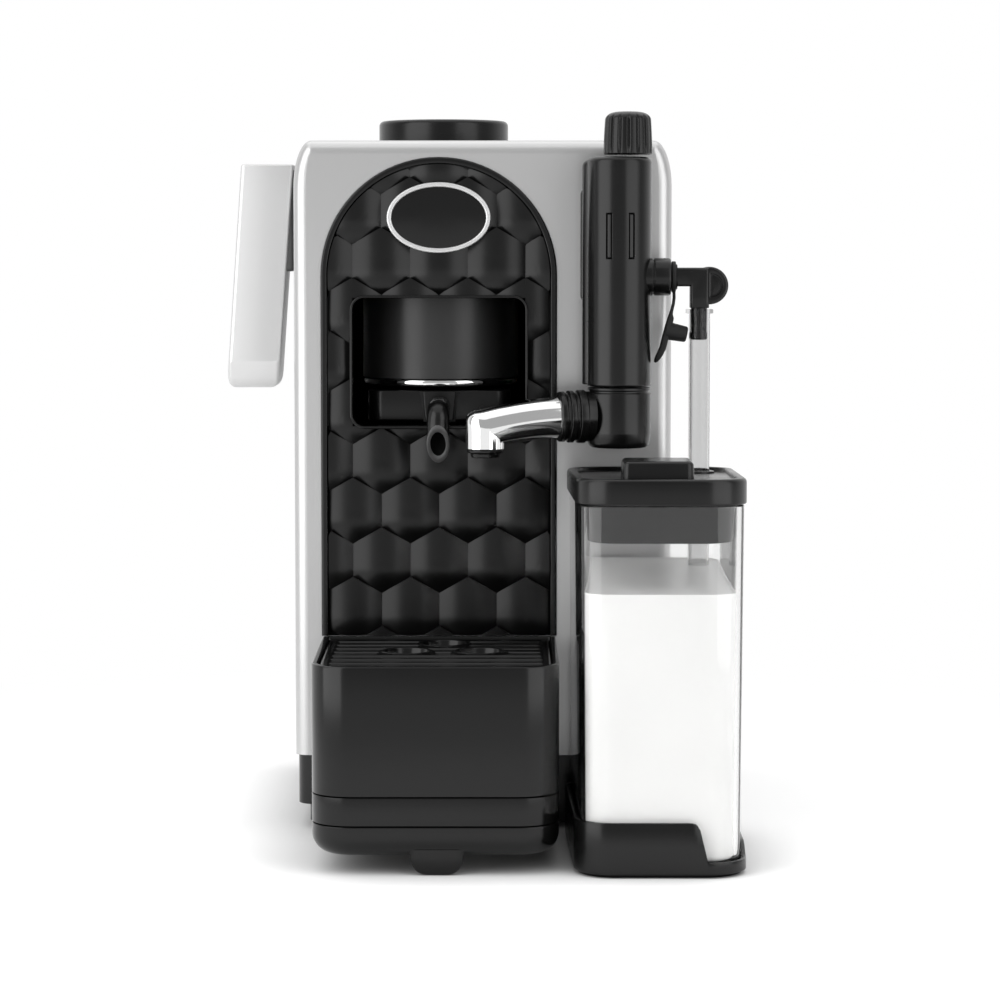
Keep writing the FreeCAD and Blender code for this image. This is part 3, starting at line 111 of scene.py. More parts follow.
def makePiece(name, points, faces, sharp=35.0):
    # one mesh object at the origin, smooth but for edges sharper than the given angle
    mesh = bpy.data.meshes.new(name)
    mesh.from_pydata(points.tolist(), [], [face for group in faces for face in group.tolist()])
    mesh.validate()
    mesh.polygons.foreach_set("use_smooth", np.ones(len(mesh.polygons), dtype=bool))
    mesh.set_sharp_from_angle(angle=math.radians(sharp))
    piece = bpy.data.objects.new(name, mesh)
    scene.collection.objects.link(piece)
    return piece


def gridParts(grid, ring=False, capFirst=True, capLast=True):
    # points and faces of one grid: its rows close into a ring, or fans close its first and last row
    rows, columns = grid.shape[:2]
    points, faces = [grid.reshape(-1, 3)], [gridFaces(rows, columns, ring, True)]
    hub = rows * columns
    for wanted, row, way in ((capFirst, 0, -1), (capLast, rows - 1, 1)):
        if wanted and not ring:
            edge = np.arange(columns) + row * columns
            points.append(grid[row].mean(axis=0)[None, :])
            faces.append(np.stack([edge, np.roll(edge, -1), np.full(columns, hub)], axis=1))
            faces[-1][:, :2] = faces[-1][:, :2][:, ::way]
            hub += 1
    return np.concatenate(points), faces


def joinGrids(name, grids, sharp=35.0, **closing):
    # one or more closed grids as one mesh
    allPoints, allFaces, start = [], [], 0
    for grid in grids:
        points, faces = gridParts(grid, **closing)
        allFaces += [group + start for group in outward(points, faces)]
        allPoints.append(points)
        start += len(points)
    return makePiece(name, np.concatenate(allPoints), allFaces, sharp)


def gridPiece(name, grid, sharp=35.0, **closing):
    return joinGrids(name, [grid], sharp, **closing)


def roundedLine(corners, steps):
    # a polyline whose corners (a, b, radius) are turned into arcs tangent to both runs
    line = []
    for k, (a, b, radius) in enumerate(corners):
        here = np.array([a, b], float)
        if radius <= 0 or k in (0, len(corners) - 1):
            line.append(here[None, :])
            continue
        back, ahead = (np.array(corners[k + step][:2], float) - here for step in (-1, 1))
        back /= np.linalg.norm(back)
        ahead /= np.linalg.norm(ahead)
        half = math.acos(np.clip(back @ ahead, -1, 1)) / 2
        middle = back + ahead
        centre = here + middle / np.linalg.norm(middle) * radius / math.sin(half)
        enter, leave = (here + way * radius / math.tan(half) - centre for way in (back, ahead))
        share = np.linspace(0, 1, steps + 1)[:, None]
        turn = math.pi - 2 * half
        arc = np.sin((1 - share) * turn) * enter + np.sin(share * turn) * leave
        line.append(centre + arc / math.sin(turn))
    return np.concatenate(line)


def lathe(corners, steps, centre, axis=(0, 0, 1), turns=96):
    # profile of (radius, height, corner radius) turned about an axis through centre
    profile = roundedLine(corners, steps)[:, :, None, None] * mm
    axis = np.array(axis, float) / np.linalg.norm(axis)
    side = np.array([1.0, 0, 0]) if abs(axis[0]) < 0.9 else np.array([0, 0, 1.0])
    across = np.cross(axis, side)
    across /= np.linalg.norm(across)
    way = compass(around(turns)) @ np.stack([across, np.cross(axis, across)])
    return centre + profile[:, 0] * way + profile[:, 1] * axis


def turnedPiece(name, corners, x, y, turns, steps, sharp=35.0):
    # closed profile turned about an upright axis
    return gridPiece(name, lathe(corners, steps, place(x, y, 0), turns=turns), sharp)


def planRing(half, radii, inset, steps, least=hairRound):
    # rounded rectangle drawn in by each inset: corner arcs about moving centres
    inset = np.asarray(inset, float)[:, None]
    arcs = []
    for k, (sx, sy) in enumerate(((1, 1), (-1, 1), (-1, -1), (1, -1))):
        radius = np.maximum(np.broadcast_to(radii, 4)[k] - inset, least)
        turn = np.linspace(0, math.pi / 2, steps) + k * math.pi / 2
        x = sx * (half[0] - inset - radius) + radius * np.cos(turn)
        y = sy * (half[1] - inset - radius) + radius * np.sin(turn)
        arcs.append(np.stack([x, y], axis=2))
    return np.concatenate(arcs, axis=1)


def oneRing(half, radius, steps):
    return planRing(half, radius, np.zeros(1), steps)[0]


def planLoft(x, y, radii, corners, rounds=5, steps=10, least=softRound):
    # rounded rectangle seen from above, about (middle, half) in x and y, carried along a section of
    # (inset, height, corner radius)
    section = roundedLine(corners, rounds)
    ring = planRing((x[1], y[1]), radii, section[:, 0], steps, least)
    return place(x[0] + ring[..., 0], y[0] + ring[..., 1], section[:, 1, None])


def frontLoft(x, z, radius, corners, steps=10):
    # rounded rectangle seen from the front, carried along a section of (inset, depth, corner radius)
    section = roundedLine(corners, 4)
    ring = planRing((x[1], z[1]), radius, section[:, 0], steps, softRound)
    return place(x[0] + ring[..., 0], section[:, 1, None], z[0] + ring[..., 1])


def buildNodes(tree, kinds, links):
    # nodes are name: type or (type, settings), a setting being a property or an input of the node;
    # links are written "node.output > node.input", where a number stands for the input's place
    made = {node.name: node for node in tree.nodes}
    for name, kind in kinds.items():
        kind, settings = (kind, {}) if isinstance(kind, str) else kind
        node = made[name] = tree.nodes.new(kind if kind.startswith("NodeGroup") else "ShaderNode" + kind)
        for key, value in settings.items():
            if hasattr(node, str(key)):
                setattr(node, key, value)
            else:
                node.inputs[key].default_value = value
    for pair in links.split(", "):
        (start, outlet), (end, inlet) = (side.split(".") for side in pair.split(" > "))
        inlet = int(inlet) if inlet.isdigit() else inlet
        tree.links.new(made[start].outputs[outlet], made[end].inputs[inlet])


def dress(piece, finish, body, *replaced, slot="black_plastic"):
    # gives a piece its finish and its body, and hides the solids that it stands for; the slot argument is not
    # used
    piece.data.materials.append(finishes[finish])
    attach(piece, body)
    if replaced:
        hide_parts(*replaced)


print("helpers ready")


# Camera, floor and light

cameraSet = dict(lens=115.2, sensor=36.0, pitch=4.5, right=7.2, ahead=-1320.0, height=241.8)


def makeCamera(lens, sensor, pitch, right, ahead, height):
    data = bpy.data.cameras.new("viewCamera")
    data.lens, data.sensor_width = lens, sensor
    camera = bpy.data.objects.new("viewCamera", data)
    camera.location = place(right, ahead, height)
    camera.rotation_euler = (math.radians(90 - pitch), 0, 0)
    scene.collection.objects.link(camera)
    scene.camera = camera


lightSet = {
    "topLight": dict(at=(0.0, 0.1, 1.9), aim=(0, 0, 0), size=(2.6, 2.6), power=17.0),
    "leftBox": dict(at=(-0.516, -0.414, 0.46), aim=(0.337, 0.108, 0.46), size=(0.60, 0.9), power=3.8),
    "rightBox": dict(at=(0.494, -0.495, 0.46), aim=(-0.306, 0.105, 0.46), size=(0.55, 0.9), power=2.5),
}


def makeLight(name, at, aim, size, power):
    data = bpy.data.lights.new(name, "AREA")
    data.shape = "RECTANGLE"
    data.size, data.size_y = size
    data.energy = power
    light = bpy.data.objects.new(name, data)
    light.location = at
    light.rotation_euler = (Vector(aim) - Vector(at)).to_track_quat("-Z", "Y").to_euler()
    scene.collection.objects.link(light)


worldSet = dict(front=0.44, back=1.0, turn=(-0.1, 0.5))
either, times = {"operation": "MAXIMUM"}, {"operation": "MULTIPLY"}
softStep = {"interpolation_type": "SMOOTHSTEP"}


def makeWorld(front, back, turn):
    # white to the camera, through clear plastic and in reflections of the backdrop; dimmer behind the camera
    world = bpy.data.worlds.new("studioWorld")
    scene.world = world
    world.use_nodes = True
    world.node_tree.nodes.clear()
    buildNodes(world.node_tree, {
        "output": "OutputWorld", "paths": "LightPath", "spot": "TexCoord", "split": "SeparateXYZ",
        "shade": ("Background", {"Color": (1, 1, 1, 1)}), "plain": ("Mix", {"A": front, "B": back}),
        "behind": ("MapRange", {**softStep, "From Min": turn[0], "From Max": turn[1]}),
        "mirrored": ("Math", times), "direct": ("Math", either), "seen": ("Math", either),
    }, "spot.Generated > split.Vector, split.Y > behind.Value, paths.Is Glossy Ray > mirrored.0, "
       "behind.Result > mirrored.1, paths.Is Camera Ray > direct.0, paths.Is Transmission Ray > direct.1, "
       "direct.Value > seen.0, mirrored.Value > seen.1, seen.Value > plain.Factor, "
       "plain.Result > shade.Strength, shade.Background > output.Surface")


# the last two set the floor's painted contact shade: how far it reaches, and the share of the floor colour
# left under it
floorSet = dict(reach=6.0, glow=0.27, colour=0.97, plain=0.22, white=0.48, contact=0.035, deep=0.45)


def makeFloor(reach, glow, colour, plain, white, contact, deep):
    # flat sheet at z = 0: diffuse with a slight glow round the object, with painted contact shade where
    # something stands close (an occlusion factor darkens its colour and dims its glow), fading to pure white
    # farther out
    u, v = np.meshgrid(np.linspace(-1, 1, 3), np.linspace(-1, 1, 3))
    grid = np.stack([u, v, np.zeros_like(u)], axis=2) * reach
    floor = makePiece("studioFloor", grid.reshape(-1, 3), [gridFaces(3, 3, False, False)])
    material = bpy.data.materials.new("paleFloor")
    material.use_nodes = True
    material.node_tree.nodes.clear()
    buildNodes(material.node_tree, {
        "output": "OutputMaterial", "diffuse": "BsdfDiffuse", "glow": "Emission", "white": "Emission",
        "both": "AddShader", "fade": "MixShader", "paths": "LightPath", "spot": "TexCoord",
        "away": ("VectorMath", {"operation": "LENGTH"}),
        "edge": ("MapRange", {**softStep, "From Min": plain, "From Max": white}),
        "seen": ("Math", either), "mirrored": ("Math", either), "level": ("Math", {**times, 1: glow}),
        # painted contact shade: the occlusion factor darkens the floor colour towards its shaded share and
        # dims the glow
        "dim": ("Math", times), "contact": ("AmbientOcclusion", {"Distance": contact}),
        "tone": ("Mix", {"data_type": "RGBA", "A": (*(colour * deep,) * 3, 1), "B": (*(colour,) * 3, 1)}),
    }, "paths.Is Camera Ray > seen.0, paths.Is Transmission Ray > seen.1, seen.Value > mirrored.0, "
       "paths.Is Glossy Ray > mirrored.1, mirrored.Value > level.0, mirrored.Value > white.Strength, "
       "contact.AO > tone.Factor, tone.Result > diffuse.Color, level.Value > dim.0, contact.AO > dim.1, "
       "dim.Value > glow.Strength, spot.Object > away.0, away.Value > edge.Value, diffuse.BSDF > both.0, "
       "glow.Emission > both.1, edge.Result > fade.Fac, both.Shader > fade.1, white.Emission > fade.2, "
       "fade.Shader > output.Surface")
    floor.data.materials.append(material)


makeCamera(**cameraSet)
for lightName, values in lightSet.items():  # a broad sheet overhead and two tall boxes beside the camera
    makeLight(lightName, **values)
makeWorld(**worldSet)
makeFloor(**floorSet)
print("camera, light and floor ready")


# Finishes. Two node groups are shared: a fine grain with broad patches, and dust on faces that look up.

def makeGroup(name, inputs, outputs, kinds, links):
    # shader node group whose inputs are name: value; the nodes enter and leave are its two ends
    group = bpy.data.node_groups.new(name, "ShaderNodeTree")
    for side, sockets in (("INPUT", inputs), ("OUTPUT", outputs)):
        for socketName in sockets:
            group.interface.new_socket(name=socketName, in_out=side, socket_type="NodeSocketFloat")
    for socket in group.interface.items_tree:
        socket.default_value = inputs.get(socket.name, 0.0)
    ends = {"enter": "NodeGroupInput", "leave": "NodeGroupOutput", "spot": "TexCoord"}
    buildNodes(group, {**ends, **kinds}, links)
    return group


# Grain is fine noise, Patch is broad noise that drifts over the piece, both from 0 to 1
grainGroup = makeGroup("mouldedGrain", {"Grain Scale": 1800.0, "Patch Scale": 20.0}, ("Grain", "Patch"), {
    "fine": ("TexNoise", {"Detail": 1.0}), "broad": ("TexNoise", {"Detail": 3.0}),
}, "spot.Object > fine.Vector, enter.Grain Scale > fine.Scale, fine.Fac > leave.Grain, "
   "spot.Object > broad.Vector, enter.Patch Scale > broad.Scale, broad.Fac > leave.Patch")

# Dust is strongest where the surface looks up, broken by noise
dustGroup = makeGroup("settledDust", {"Amount": 0.1}, ("Dust",), {
    "surface": "NewGeometry", "split": "SeparateXYZ", "up": ("MapRange", {"From Min": 0.45, "From Max": 1.0}),
    "noise": ("TexNoise", {"Scale": 260.0, "Detail": 6.0}),
    "broken": ("Math", times), "scaled": ("Math", times),
}, "surface.Normal > split.Vector, split.Z > up.Value, spot.Object > noise.Vector, up.Result > broken.0, "
   "noise.Fac > broken.1, broken.Value > scaled.0, enter.Amount > scaled.1, scaled.Value > leave.Dust")
dustColour = (0.42, 0.42, 0.41, 1)
clearShade = (0.90, 0.90, 0.90, 1)  # share of the light that passes a clear wall


def makeFinish(name, colour, shade, rough, spread, grain, patch, bump, metallic=0.0, depth=0.00006,
               specular=0.5, dust=0.0, transmission=0.0, ior=1.5):
    # colour drifts to shade and roughness by its spread with the patches, and the grain lifts the surface
    material = bpy.data.materials.new(name)
    material.use_nodes = True
    first, second = ((*np.broadcast_to(tone, 3), 1) for tone in (colour, shade))
    low, high = rough - spread, rough + spread
    kinds = {
        "texture": ("Group", {"node_tree": grainGroup, "Grain Scale": grain, "Patch Scale": patch}),
        "tint": ("Mix", {"data_type": "RGBA", "A": first, "B": second}),
        "gloss": ("MapRange", {"From Min": 0.3, "From Max": 0.7, "To Min": low, "To Max": high}),
        "relief": ("Bump", {"Strength": bump, "Distance": depth}),
    }
    links = ("texture.Patch > tint.Factor, texture.Patch > gloss.Value, texture.Grain > relief.Height, "
             "gloss.Result > Principled BSDF.Roughness, relief.Normal > Principled BSDF.Normal, ")
    if dust > 0:
        kinds["settled"] = ("Group", {"node_tree": dustGroup, "Amount": dust})
        kinds["pale"] = ("Mix", {"data_type": "RGBA", "B": dustColour})
        links += "settled.Dust > pale.Factor, tint.Result > pale.A, pale.Result > Principled BSDF.Base Color"
    else:
        links += "tint.Result > Principled BSDF.Base Color"
    if transmission > 0:  # light passes a clear wall, so its shadow is faint
        kinds["through"] = ("BsdfTransparent", {"Color": clearShade})
        kinds |= {"paths": "LightPath", "either": "MixShader"}
        links += (", paths.Is Shadow Ray > either.Fac, Principled BSDF.BSDF > either.1, "
                  "through.BSDF > either.2, either.Shader > Material Output.Surface")
    buildNodes(material.node_tree, kinds, links)
    shader = material.node_tree.nodes["Principled BSDF"]
    for socket, value in (("Metallic", metallic), ("Specular IOR Level", specular),
                          ("Transmission Weight", transmission), ("IOR", ior)):
        shader.inputs[socket].default_value = value
    return material


finishSet = {  # colour, shade, roughness and its spread, grain and patch scale, bump, and what isn't plain
    "satinSilver": (0.60, 0.55, 0.35, 0.03, 5200, 9, 0.10, dict(metallic=0.75, depth=0.00002, dust=0.05)),
    "leverSilver": (0.73, 0.68, 0.44, 0.03, 5200, 14, 0.08, dict(metallic=0.8, depth=0.00002)),
    "blackPlastic": (0.0030, 0.0045, 0.25, 0.03, 2600, 30, 0.10, dict(depth=0.00004, specular=0.34)),
    "glossBlack": (0.0040, 0.0055, 0.20, 0.03, 900, 24, 0.03, dict(depth=0.00004, specular=0.36)),
    # the brew head's dark grey is lifted above the other blacks, partly as painted light inside the window's
    # recess
    "headGrey": (0.028, 0.033, 0.32, 0.03, 900, 24, 0.03, dict(depth=0.00004, specular=0.38)),
    "panelBlack": (0.0020, 0.0032, 0.30, 0.03, 1900, 26, 0.04, dict(depth=0.00004, specular=0.32)),
    "trayBlack": (0.0020, 0.0030, 0.18, 0.03, 2400, 22, 0.07, dict(depth=0.00004, specular=0.33)),
    "chrome": (0.86, 0.82, 0.07, 0.02, 500, 40, 0.01, dict(metallic=1.0)),
    "steel": (0.52, 0.45, 0.34, 0.06, 1400, 40, 0.10, dict(metallic=1.0)),
    "castAlloy": (0.46, 0.38, 0.50, 0.06, 1100, 60, 0.30, dict(metallic=0.9, depth=0.0001)),
    "brass": ((0.62, 0.44, 0.18), (0.50, 0.34, 0.13), 0.32, 0.06, 1500, 50, 0.10, dict(metallic=1.0)),
    "rubber": (0.012, 0.018, 0.62, 0.06, 2200, 40, 0.25, dict(specular=0.25)),
    "boardGreen": ((0.02, 0.12, 0.05), (0.015, 0.09, 0.04), 0.42, 0.05, 1600, 90, 0.10, {}),
    "clearPlastic": (0.97, 0.94, 0.05, 0.02, 600, 30, 0.01, dict(transmission=1.0, ior=1.45)),
    "hazyPlastic": (0.76, 0.74, 0.12, 0.02, 600, 30, 0.01, dict(transmission=1.0, ior=1.15)),
    # near-black matte finish: painted shade on the bore of the coffee outlet, the sheets beside the pod bay
    # and the brew frame
    "recessBlack": (0.0015, 0.0020, 0.80, 0.05, 2000, 30, 0.04, dict(specular=0.06)),
    "lipGrey": (0.085, 0.10, 0.35, 0.03, 2000, 30, 0.04, {}),
    "milkWhite": ((0.93, 0.93, 0.92), (0.91, 0.91, 0.90), 0.35, 0.04, 300, 30, 0.02, {}),
}
finishes = {name: makeFinish(name, *row[:-1], **row[-1]) for name, row in finishSet.items()}
print("finishes ready:", len(bpy.data.materials))


# Front panel: honeycomb cells, ground plate, arched rim, window lip and badge

archSet = dict(axis=-18.0, half=48.6, top=279.0, bottom=81.6)
honeySet = dict(cell=23.8, firstRow=154.1, inset=2.9, ground=2.4, rise=3.8, fall=3.5, fallFrom=-3.0,
                lean=0.035, crown=22.0, turns=72, least=0.8)
windowSet = dict(left=-53.6, right=17.6, low=168.6, high=221.3, corner=5.0, lip=1.2, gap=0.05, front=-2.7,
                 back=7.5)
archAxis, archHalf, archTop, archFoot = archSet.values()
archSpring = archTop - archHalf  # height where the half circle begins


def cellPlanes(centres, cell, inset):
    # half-planes n.p <= k of each cell: six hexagon sides, then the arch drawn in and its foot
    sides = compass(np.radians(np.arange(0, 360, 60)))
    bows = compass(np.radians(np.linspace(0, 180, 49)))
    reach = centres @ sides.T + cell / 2
    bowReach = bows @ np.array([archAxis, archSpring]) + (archHalf - inset)
    fixed = np.append(bowReach, -archFoot)
    normals = np.concatenate([sides, bows, [[0.0, -1.0]]])
    return normals, np.concatenate([reach, np.broadcast_to(fixed, (len(centres), len(fixed)))], axis=1)


def windowZones(left, right, low, high):
    # half-planes n.p <= k of what lies left, right, below and above the window, and of a cell clear of it
    ahead, back, up, down = (1, 0), (-1, 0), (0, 1), (0, -1)
    normals = np.array([[ahead] * 3, [back] * 3, [up, back, ahead], [down, back, ahead], [ahead] * 3], float)
    reach = np.array([[left] * 3, [-right] * 3, [low, -left, right], [-high, -left, right], [farAway] * 3])
    return normals, reach


def nearestPlane(along, room):
    # distance to the first half-plane met along each direction
    return np.where(along > tiny, room[:, None, :] / np.maximum(along, tiny), farAway).min(axis=2)


def honeycombCells(cell, firstRow, inset, ground, rise, fall, fallFrom, lean, crown, turns, least):
    # each cell is a polar grid: boundary distance is the nearest half-plane along each direction,
    # height is rise less a backward lean, a side-to-side crown and a fall towards the lower end;
    # cells that meet the window are split into the parts left of it, right of it, below and above
    left, right, low, high, gap = pick(windowSet, "left right low high gap")
    tip = cell / math.sqrt(3)
    rows, columns = np.meshgrid(np.arange(-5, 8), np.arange(-3, 4), indexing="ij")
    across = archAxis + cell * (columns + 0.5 * (rows % 2))
    centres = np.stack([across, firstRow + cell * math.sqrt(3) / 2 * rows], axis=2).reshape(-1, 2)
    sideways = np.maximum(left - centres[:, 0], centres[:, 0] - right)
    upright = np.maximum(low - centres[:, 1], centres[:, 1] - high)
    near = (sideways < cell / 2 + gap) & (upright < tip + gap)
    zone = np.concatenate([np.full((~near).sum(), 4), np.tile(np.arange(4), near.sum())])
    centres = np.concatenate([centres[~near], np.repeat(centres[near], 4, axis=0)])
    normals, reach = cellPlanes(centres, cell, inset)
    zones = windowZones(left - gap, right + gap, low - gap, high + gap)
    zoneNormals, zoneReach = (part[zone] for part in zones)
    # the hub is the trial point with most room; parts with too little are left out
    spread = np.linspace(-0.5, 0.5, 21) * cell
    points = centres[:, None, :] + np.stack(np.meshgrid(spread, spread * 1.15), axis=2).reshape(-1, 2)
    clear = (reach[:, None, :] - points @ normals.T).min(axis=2)
    zoneClear = zoneReach[:, None, :] - np.einsum("cpk,cjk->cpj", points, zoneNormals)
    slack = np.minimum(clear, zoneClear.min(axis=2))
    keep = slack.max(axis=1) > least
    hub = points[np.arange(len(centres)), slack.argmax(axis=1)][keep]
    centres, reach, zoneNormals, zoneReach = (part[keep] for part in (centres, reach, zoneNormals, zoneReach))
    way = compass(around(turns))
    far = nearestPlane((way @ normals.T)[None], reach - hub @ normals.T)
    zoneRoom = zoneReach - np.einsum("ck,cjk->cj", hub, zoneNormals)
    far = np.minimum(far, nearestPlane(np.einsum("tk,cjk->ctj", way, zoneNormals), zoneRoom))
    share = np.array([1, 1, 0.93, 0.84, 0.72, 0.58, 0.44, 0.3, 0.15])  # rings from the edge to the hub
    radius = np.maximum(far[:, None, :] * share[None, :, None], 0.05)
    flat = hub[:, None, None, :] + radius[..., None] * way
    u, v = np.moveaxis(flat - centres[:, None, None, :], -1, 0)
    fallen = fall * ramp(v, fallFrom, -tip) ** 2
    height = np.maximum(rise - lean * v - u ** 2 / (2 * crown) - fallen, 0.12)
    height[:, 0] = -0.4  # the edge goes down behind the ground plate
    return joinGrids("honeyCells", list(place(flat[..., 0], ground - height, flat[..., 1])), sharp=38.0)


def groundPlate(left, right, low, high, lip, **others):
    # flat arch at the ground depth, in four strips round the window, thickened behind
    rows, columns, points = 40, 9, []
    cover = lip - 0.5
    below, above, foot, top = low - cover, high + cover, archFoot, archTop - 0.9
    strips = ((foot, below, -farAway, farAway), (above, top, -farAway, farAway),
              (below, above, -farAway, left - cover), (below, above, right + cover, farAway))
    for z0, z1, leftEnd, rightEnd in strips:
        z = np.linspace(z0, z1, rows)[:, None]
        bow = np.sqrt(np.maximum((archHalf - 0.8) ** 2 - np.maximum(z - archSpring, 0) ** 2, 0.01))
        start, end = np.maximum(archAxis - bow, leftEnd), np.minimum(archAxis + bow, rightEnd)
        x = start + (end - start) * np.linspace(0, 1, columns)
        points.append(place(x, honeySet["ground"], z).reshape(-1, 3))
    faces = [gridFaces(rows, columns, False, False, rows * columns * k) for k in range(len(points))]
    plate = makePiece("panelGround", np.concatenate(points), faces)
    solid = plate.modifiers.new("thickness", "SOLIDIFY")
    solid.thickness = 1.0 * mm
    solid.offset = -1.0
    return plate


rimSet = dict(width=2.5, front=-1.2, back=2.5, edge=0.8)


def archRim(width, front, back, edge):
    # rounded strip carried up one leg, round the half circle and down the other leg
    leg, still = np.linspace(archFoot, archSpring, 12), np.zeros(12)
    arc = compass(np.radians(np.linspace(180, 0, 97)))[1:-1]
    side = np.concatenate([still - 1, arc[:, 0], still + 1])[:, None]
    climb = np.concatenate([still, arc[:, 1], still])[:, None]
    level = np.concatenate([leg, np.full(len(arc), archSpring), leg[::-1]])[:, None]
    inner = archHalf - width
    reach, depth = roundedLine([(archHalf, back, 0), (archHalf, front, edge), (inner, front, edge * 0.6),
                                (inner, back, 0)], 4).T
    return gridPiece("archRim", place(archAxis + side * reach, depth, level + climb * reach))


def windowLip(left, right, low, high, corner, lip, front, back, **others):
    # closed band: out round the lip, back along the outside, in along the window's wall
    section = [(0, back, 0), (0, front, 0.5), (-lip, front, 0.6), (-lip, back, 0)]
    grid = frontLoft(span(left, right), span(low, high), corner, section, 12)
    return gridPiece("windowLip", grid, ring=True)


badgeSet = dict(x=-18.0, z=254.3, half=(21.4, 14.5), edge=2.0, front=-2.7, back=1.4, sink=0.7, dome=0.5)


def badgePiece(name, section, **closing):
    # section of (inset, depth) carried round the ellipse
    x, z, half = pick(badgeSet, "x z half")
    inset, way = section[:, :1], compass(around(128))
    grid = place(x + (half[0] - inset) * way[:, 0], section[:, 1:], z + (half[1] - inset) * way[:, 1])
    return gridPiece(name, grid, **closing)


def makeBadge(half, edge, front, back, sink, dome, **others):
    # rounded ring, and a shallow dome inside it
    ring = roundedLine([(0, back, 0), (0, front, 0.7), (edge, front, 0.7), (edge, back, 0)], 5)
    share = np.linspace(0, 1, 12)
    inset = edge - 0.1 + share * (half[1] - edge - 0.4)
    face = front + sink - dome * (1 - (1 - share) ** 2)
    domed = np.concatenate([[[edge - 0.1, back - 0.2]], np.stack([inset, face], axis=1)])
    rim, plate = badgePiece("badgeRing", ring, ring=True), badgePiece("badgeFace", domed)
    dress(rim, "leverSilver", "machine", "badge_rim", slot="satin_silver")
    dress(plate, "glossBlack", "machine", "badge_plate", slot="gloss_black")


dress(honeycombCells(**honeySet), "panelBlack", "machine", "honeycomb_panel")
dress(groundPlate(**windowSet), "panelBlack", "machine")
dress(archRim(**rimSet), "blackPlastic", "machine", "panel_bezel")
dress(windowLip(**windowSet), "trayBlack", "machine", "window_frame")
makeBadge(**badgeSet)
print("front panel ready")


# Lever on the left side

leverSet = dict(top=277.0, tip=183.0, topRight=-79.5, tipRight=-86.1, width=22.0, middle=42.0, depth=26.0,
                edge=1.7, kink=194.0, arch=0.7, slope=0.38)


def leverPaddle(top, tip, topRight, tipRight, width, middle, depth, edge, kink, arch, slope):
    # rounded rectangle carried down the lever: it leans outwards, and below the kink its front slopes back
    height, inset, arched = np.array([  # height, inset, share of the kink's arch
        (277.0, 1.2, 0), (276.85, 0.5, 0), (276.4, 0.1, 0), (275.8, 0, 0), (262, 0, 0), (240, 0, 0),
        (215, 0, 0), (198, 0, 0.4), (194.5, 0, 1), (194.0, 0, 1), (193.5, 0, 1), (190, 0, 0.6),
        (187, 0.15, 0.3), (185, 0.7, 0.1), (183.8, 1.6, 0), (183.2, 2.6, 0), (183.0, 3.6, 0)]).T[:, :, None]
    ring = planRing((width / 2, depth / 2), edge, inset[:, 0], 7, softRound)
    u, v = ring[..., 0], ring[..., 1]
    x = topRight + (top - height) / (top - tip) * (tipRight - topRight) - width / 2 + u
    y = middle + v + slope * np.maximum(kink - height, 0) * (depth / 2 - v) / depth
    z = height + arch * (1 - (u / (width / 2)) ** 2) * arched
    return gridPiece("sideLever", place(x, y, z), sharp=28.0)


leverPlateSet = dict(left=-87.5, right=-79.5, front=30.5, back=53.5, low=232.0, high=275.5, corner=3.5)


def leverPlate(left, right, front, back, low, high, corner):
    # inner plate that carries the shaft: rounded block with softened edges
    section = [(3, low, 0), (0, low, 1.5), (0, high, 1.5), (3, high, 0)]
    grid = planLoft(span(left, right), span(front, back), corner, section, 4, 8)
    return gridPiece("leverPlate", grid, sharp=28.0)


dress(leverPaddle(**leverSet), "leverSilver", "lever", "side_lever", slot="lever_silver")
dress(leverPlate(**leverPlateSet), "lipGrey", "lever", slot=None)
print("lever ready")


# Frother: barrel, knob, swivelling head, collar and chrome spout

frotherSet = dict(x=55.5, y=-20.0, r=13.0, low=186.0, high=278.5, edge=2.4)
barSet = dict(apart=4.5, low=237.4, high=255.9, half=1.25, line=0.45, depth=0.8, soft=0.2)
saddleSet = dict(x=54.2, y=-12.2, half=(13.5, 5.0), corner=4.0, low=186.4, high=277.6, edge=3.0)


def frotherBarrel(x, y, r, low, high, edge):
    # turned body whose radius sinks in a thin line round two upright bars on the front
    apart, foot, top, barHalf, line, depth, soft = barSet.values()
    crown = roundedLine([(0.5, high, 0), (r, high, edge), (r, high - 6, 0)], 8)
    runs = ((high - 8, top + 2, 6), (top + 1, top - 2, 14), (top - 3, foot + 3, 6), (foot + 2, foot - 1, 14),
            (foot - 3, low + 1.5, 8))  # rows stand close where a bar ends
    fine = np.concatenate([np.linspace(*run) for run in runs])
    base = roundedLine([(r, low + 1.2, 0), (r, low, 0.8), (0.5, low, 0)], 4)
    profile = np.concatenate([crown, np.stack([np.full(len(fine), r), fine], axis=1), base])
    radius, height = profile[:, :1], profile[:, 1:]
    way = compass(np.radians(np.concatenate([np.linspace(-60, 240, 60), np.linspace(240, 300, 121)[1:-1]])))
    middle, half = span(foot, top)
    inBar = np.minimum(barHalf - np.abs(np.abs(r * way[:, 0]) - apart), half - np.abs(height - middle))
    outline = np.clip(inBar / soft, 0, 1) - np.clip((inBar - line) / soft, 0, 1)
    radius = radius - np.where((way[:, 1] < -0.5) & (radius > r - 0.1), outline, 0) * depth
    return place(x + radius * way[:, 0], y + radius * way[:, 1], height)


def barrelSaddle(x, y, half, corner, low, high, edge):
    # rounded block behind the barrel, a little wider to the left
    deep = half[1] - 0.4
    section = [(deep, low, 0), (0, low, 0.6), (0, high, edge), (deep, high, 0)]
    return planLoft((x, half[0]), (y, half[1]), corner, section, 6, 10, hairRound)


bracketSet = dict(left=40.2, right=66.0, low=219.1, high=266.9, corner=3.5, front=-5.0, neck=-9.0)


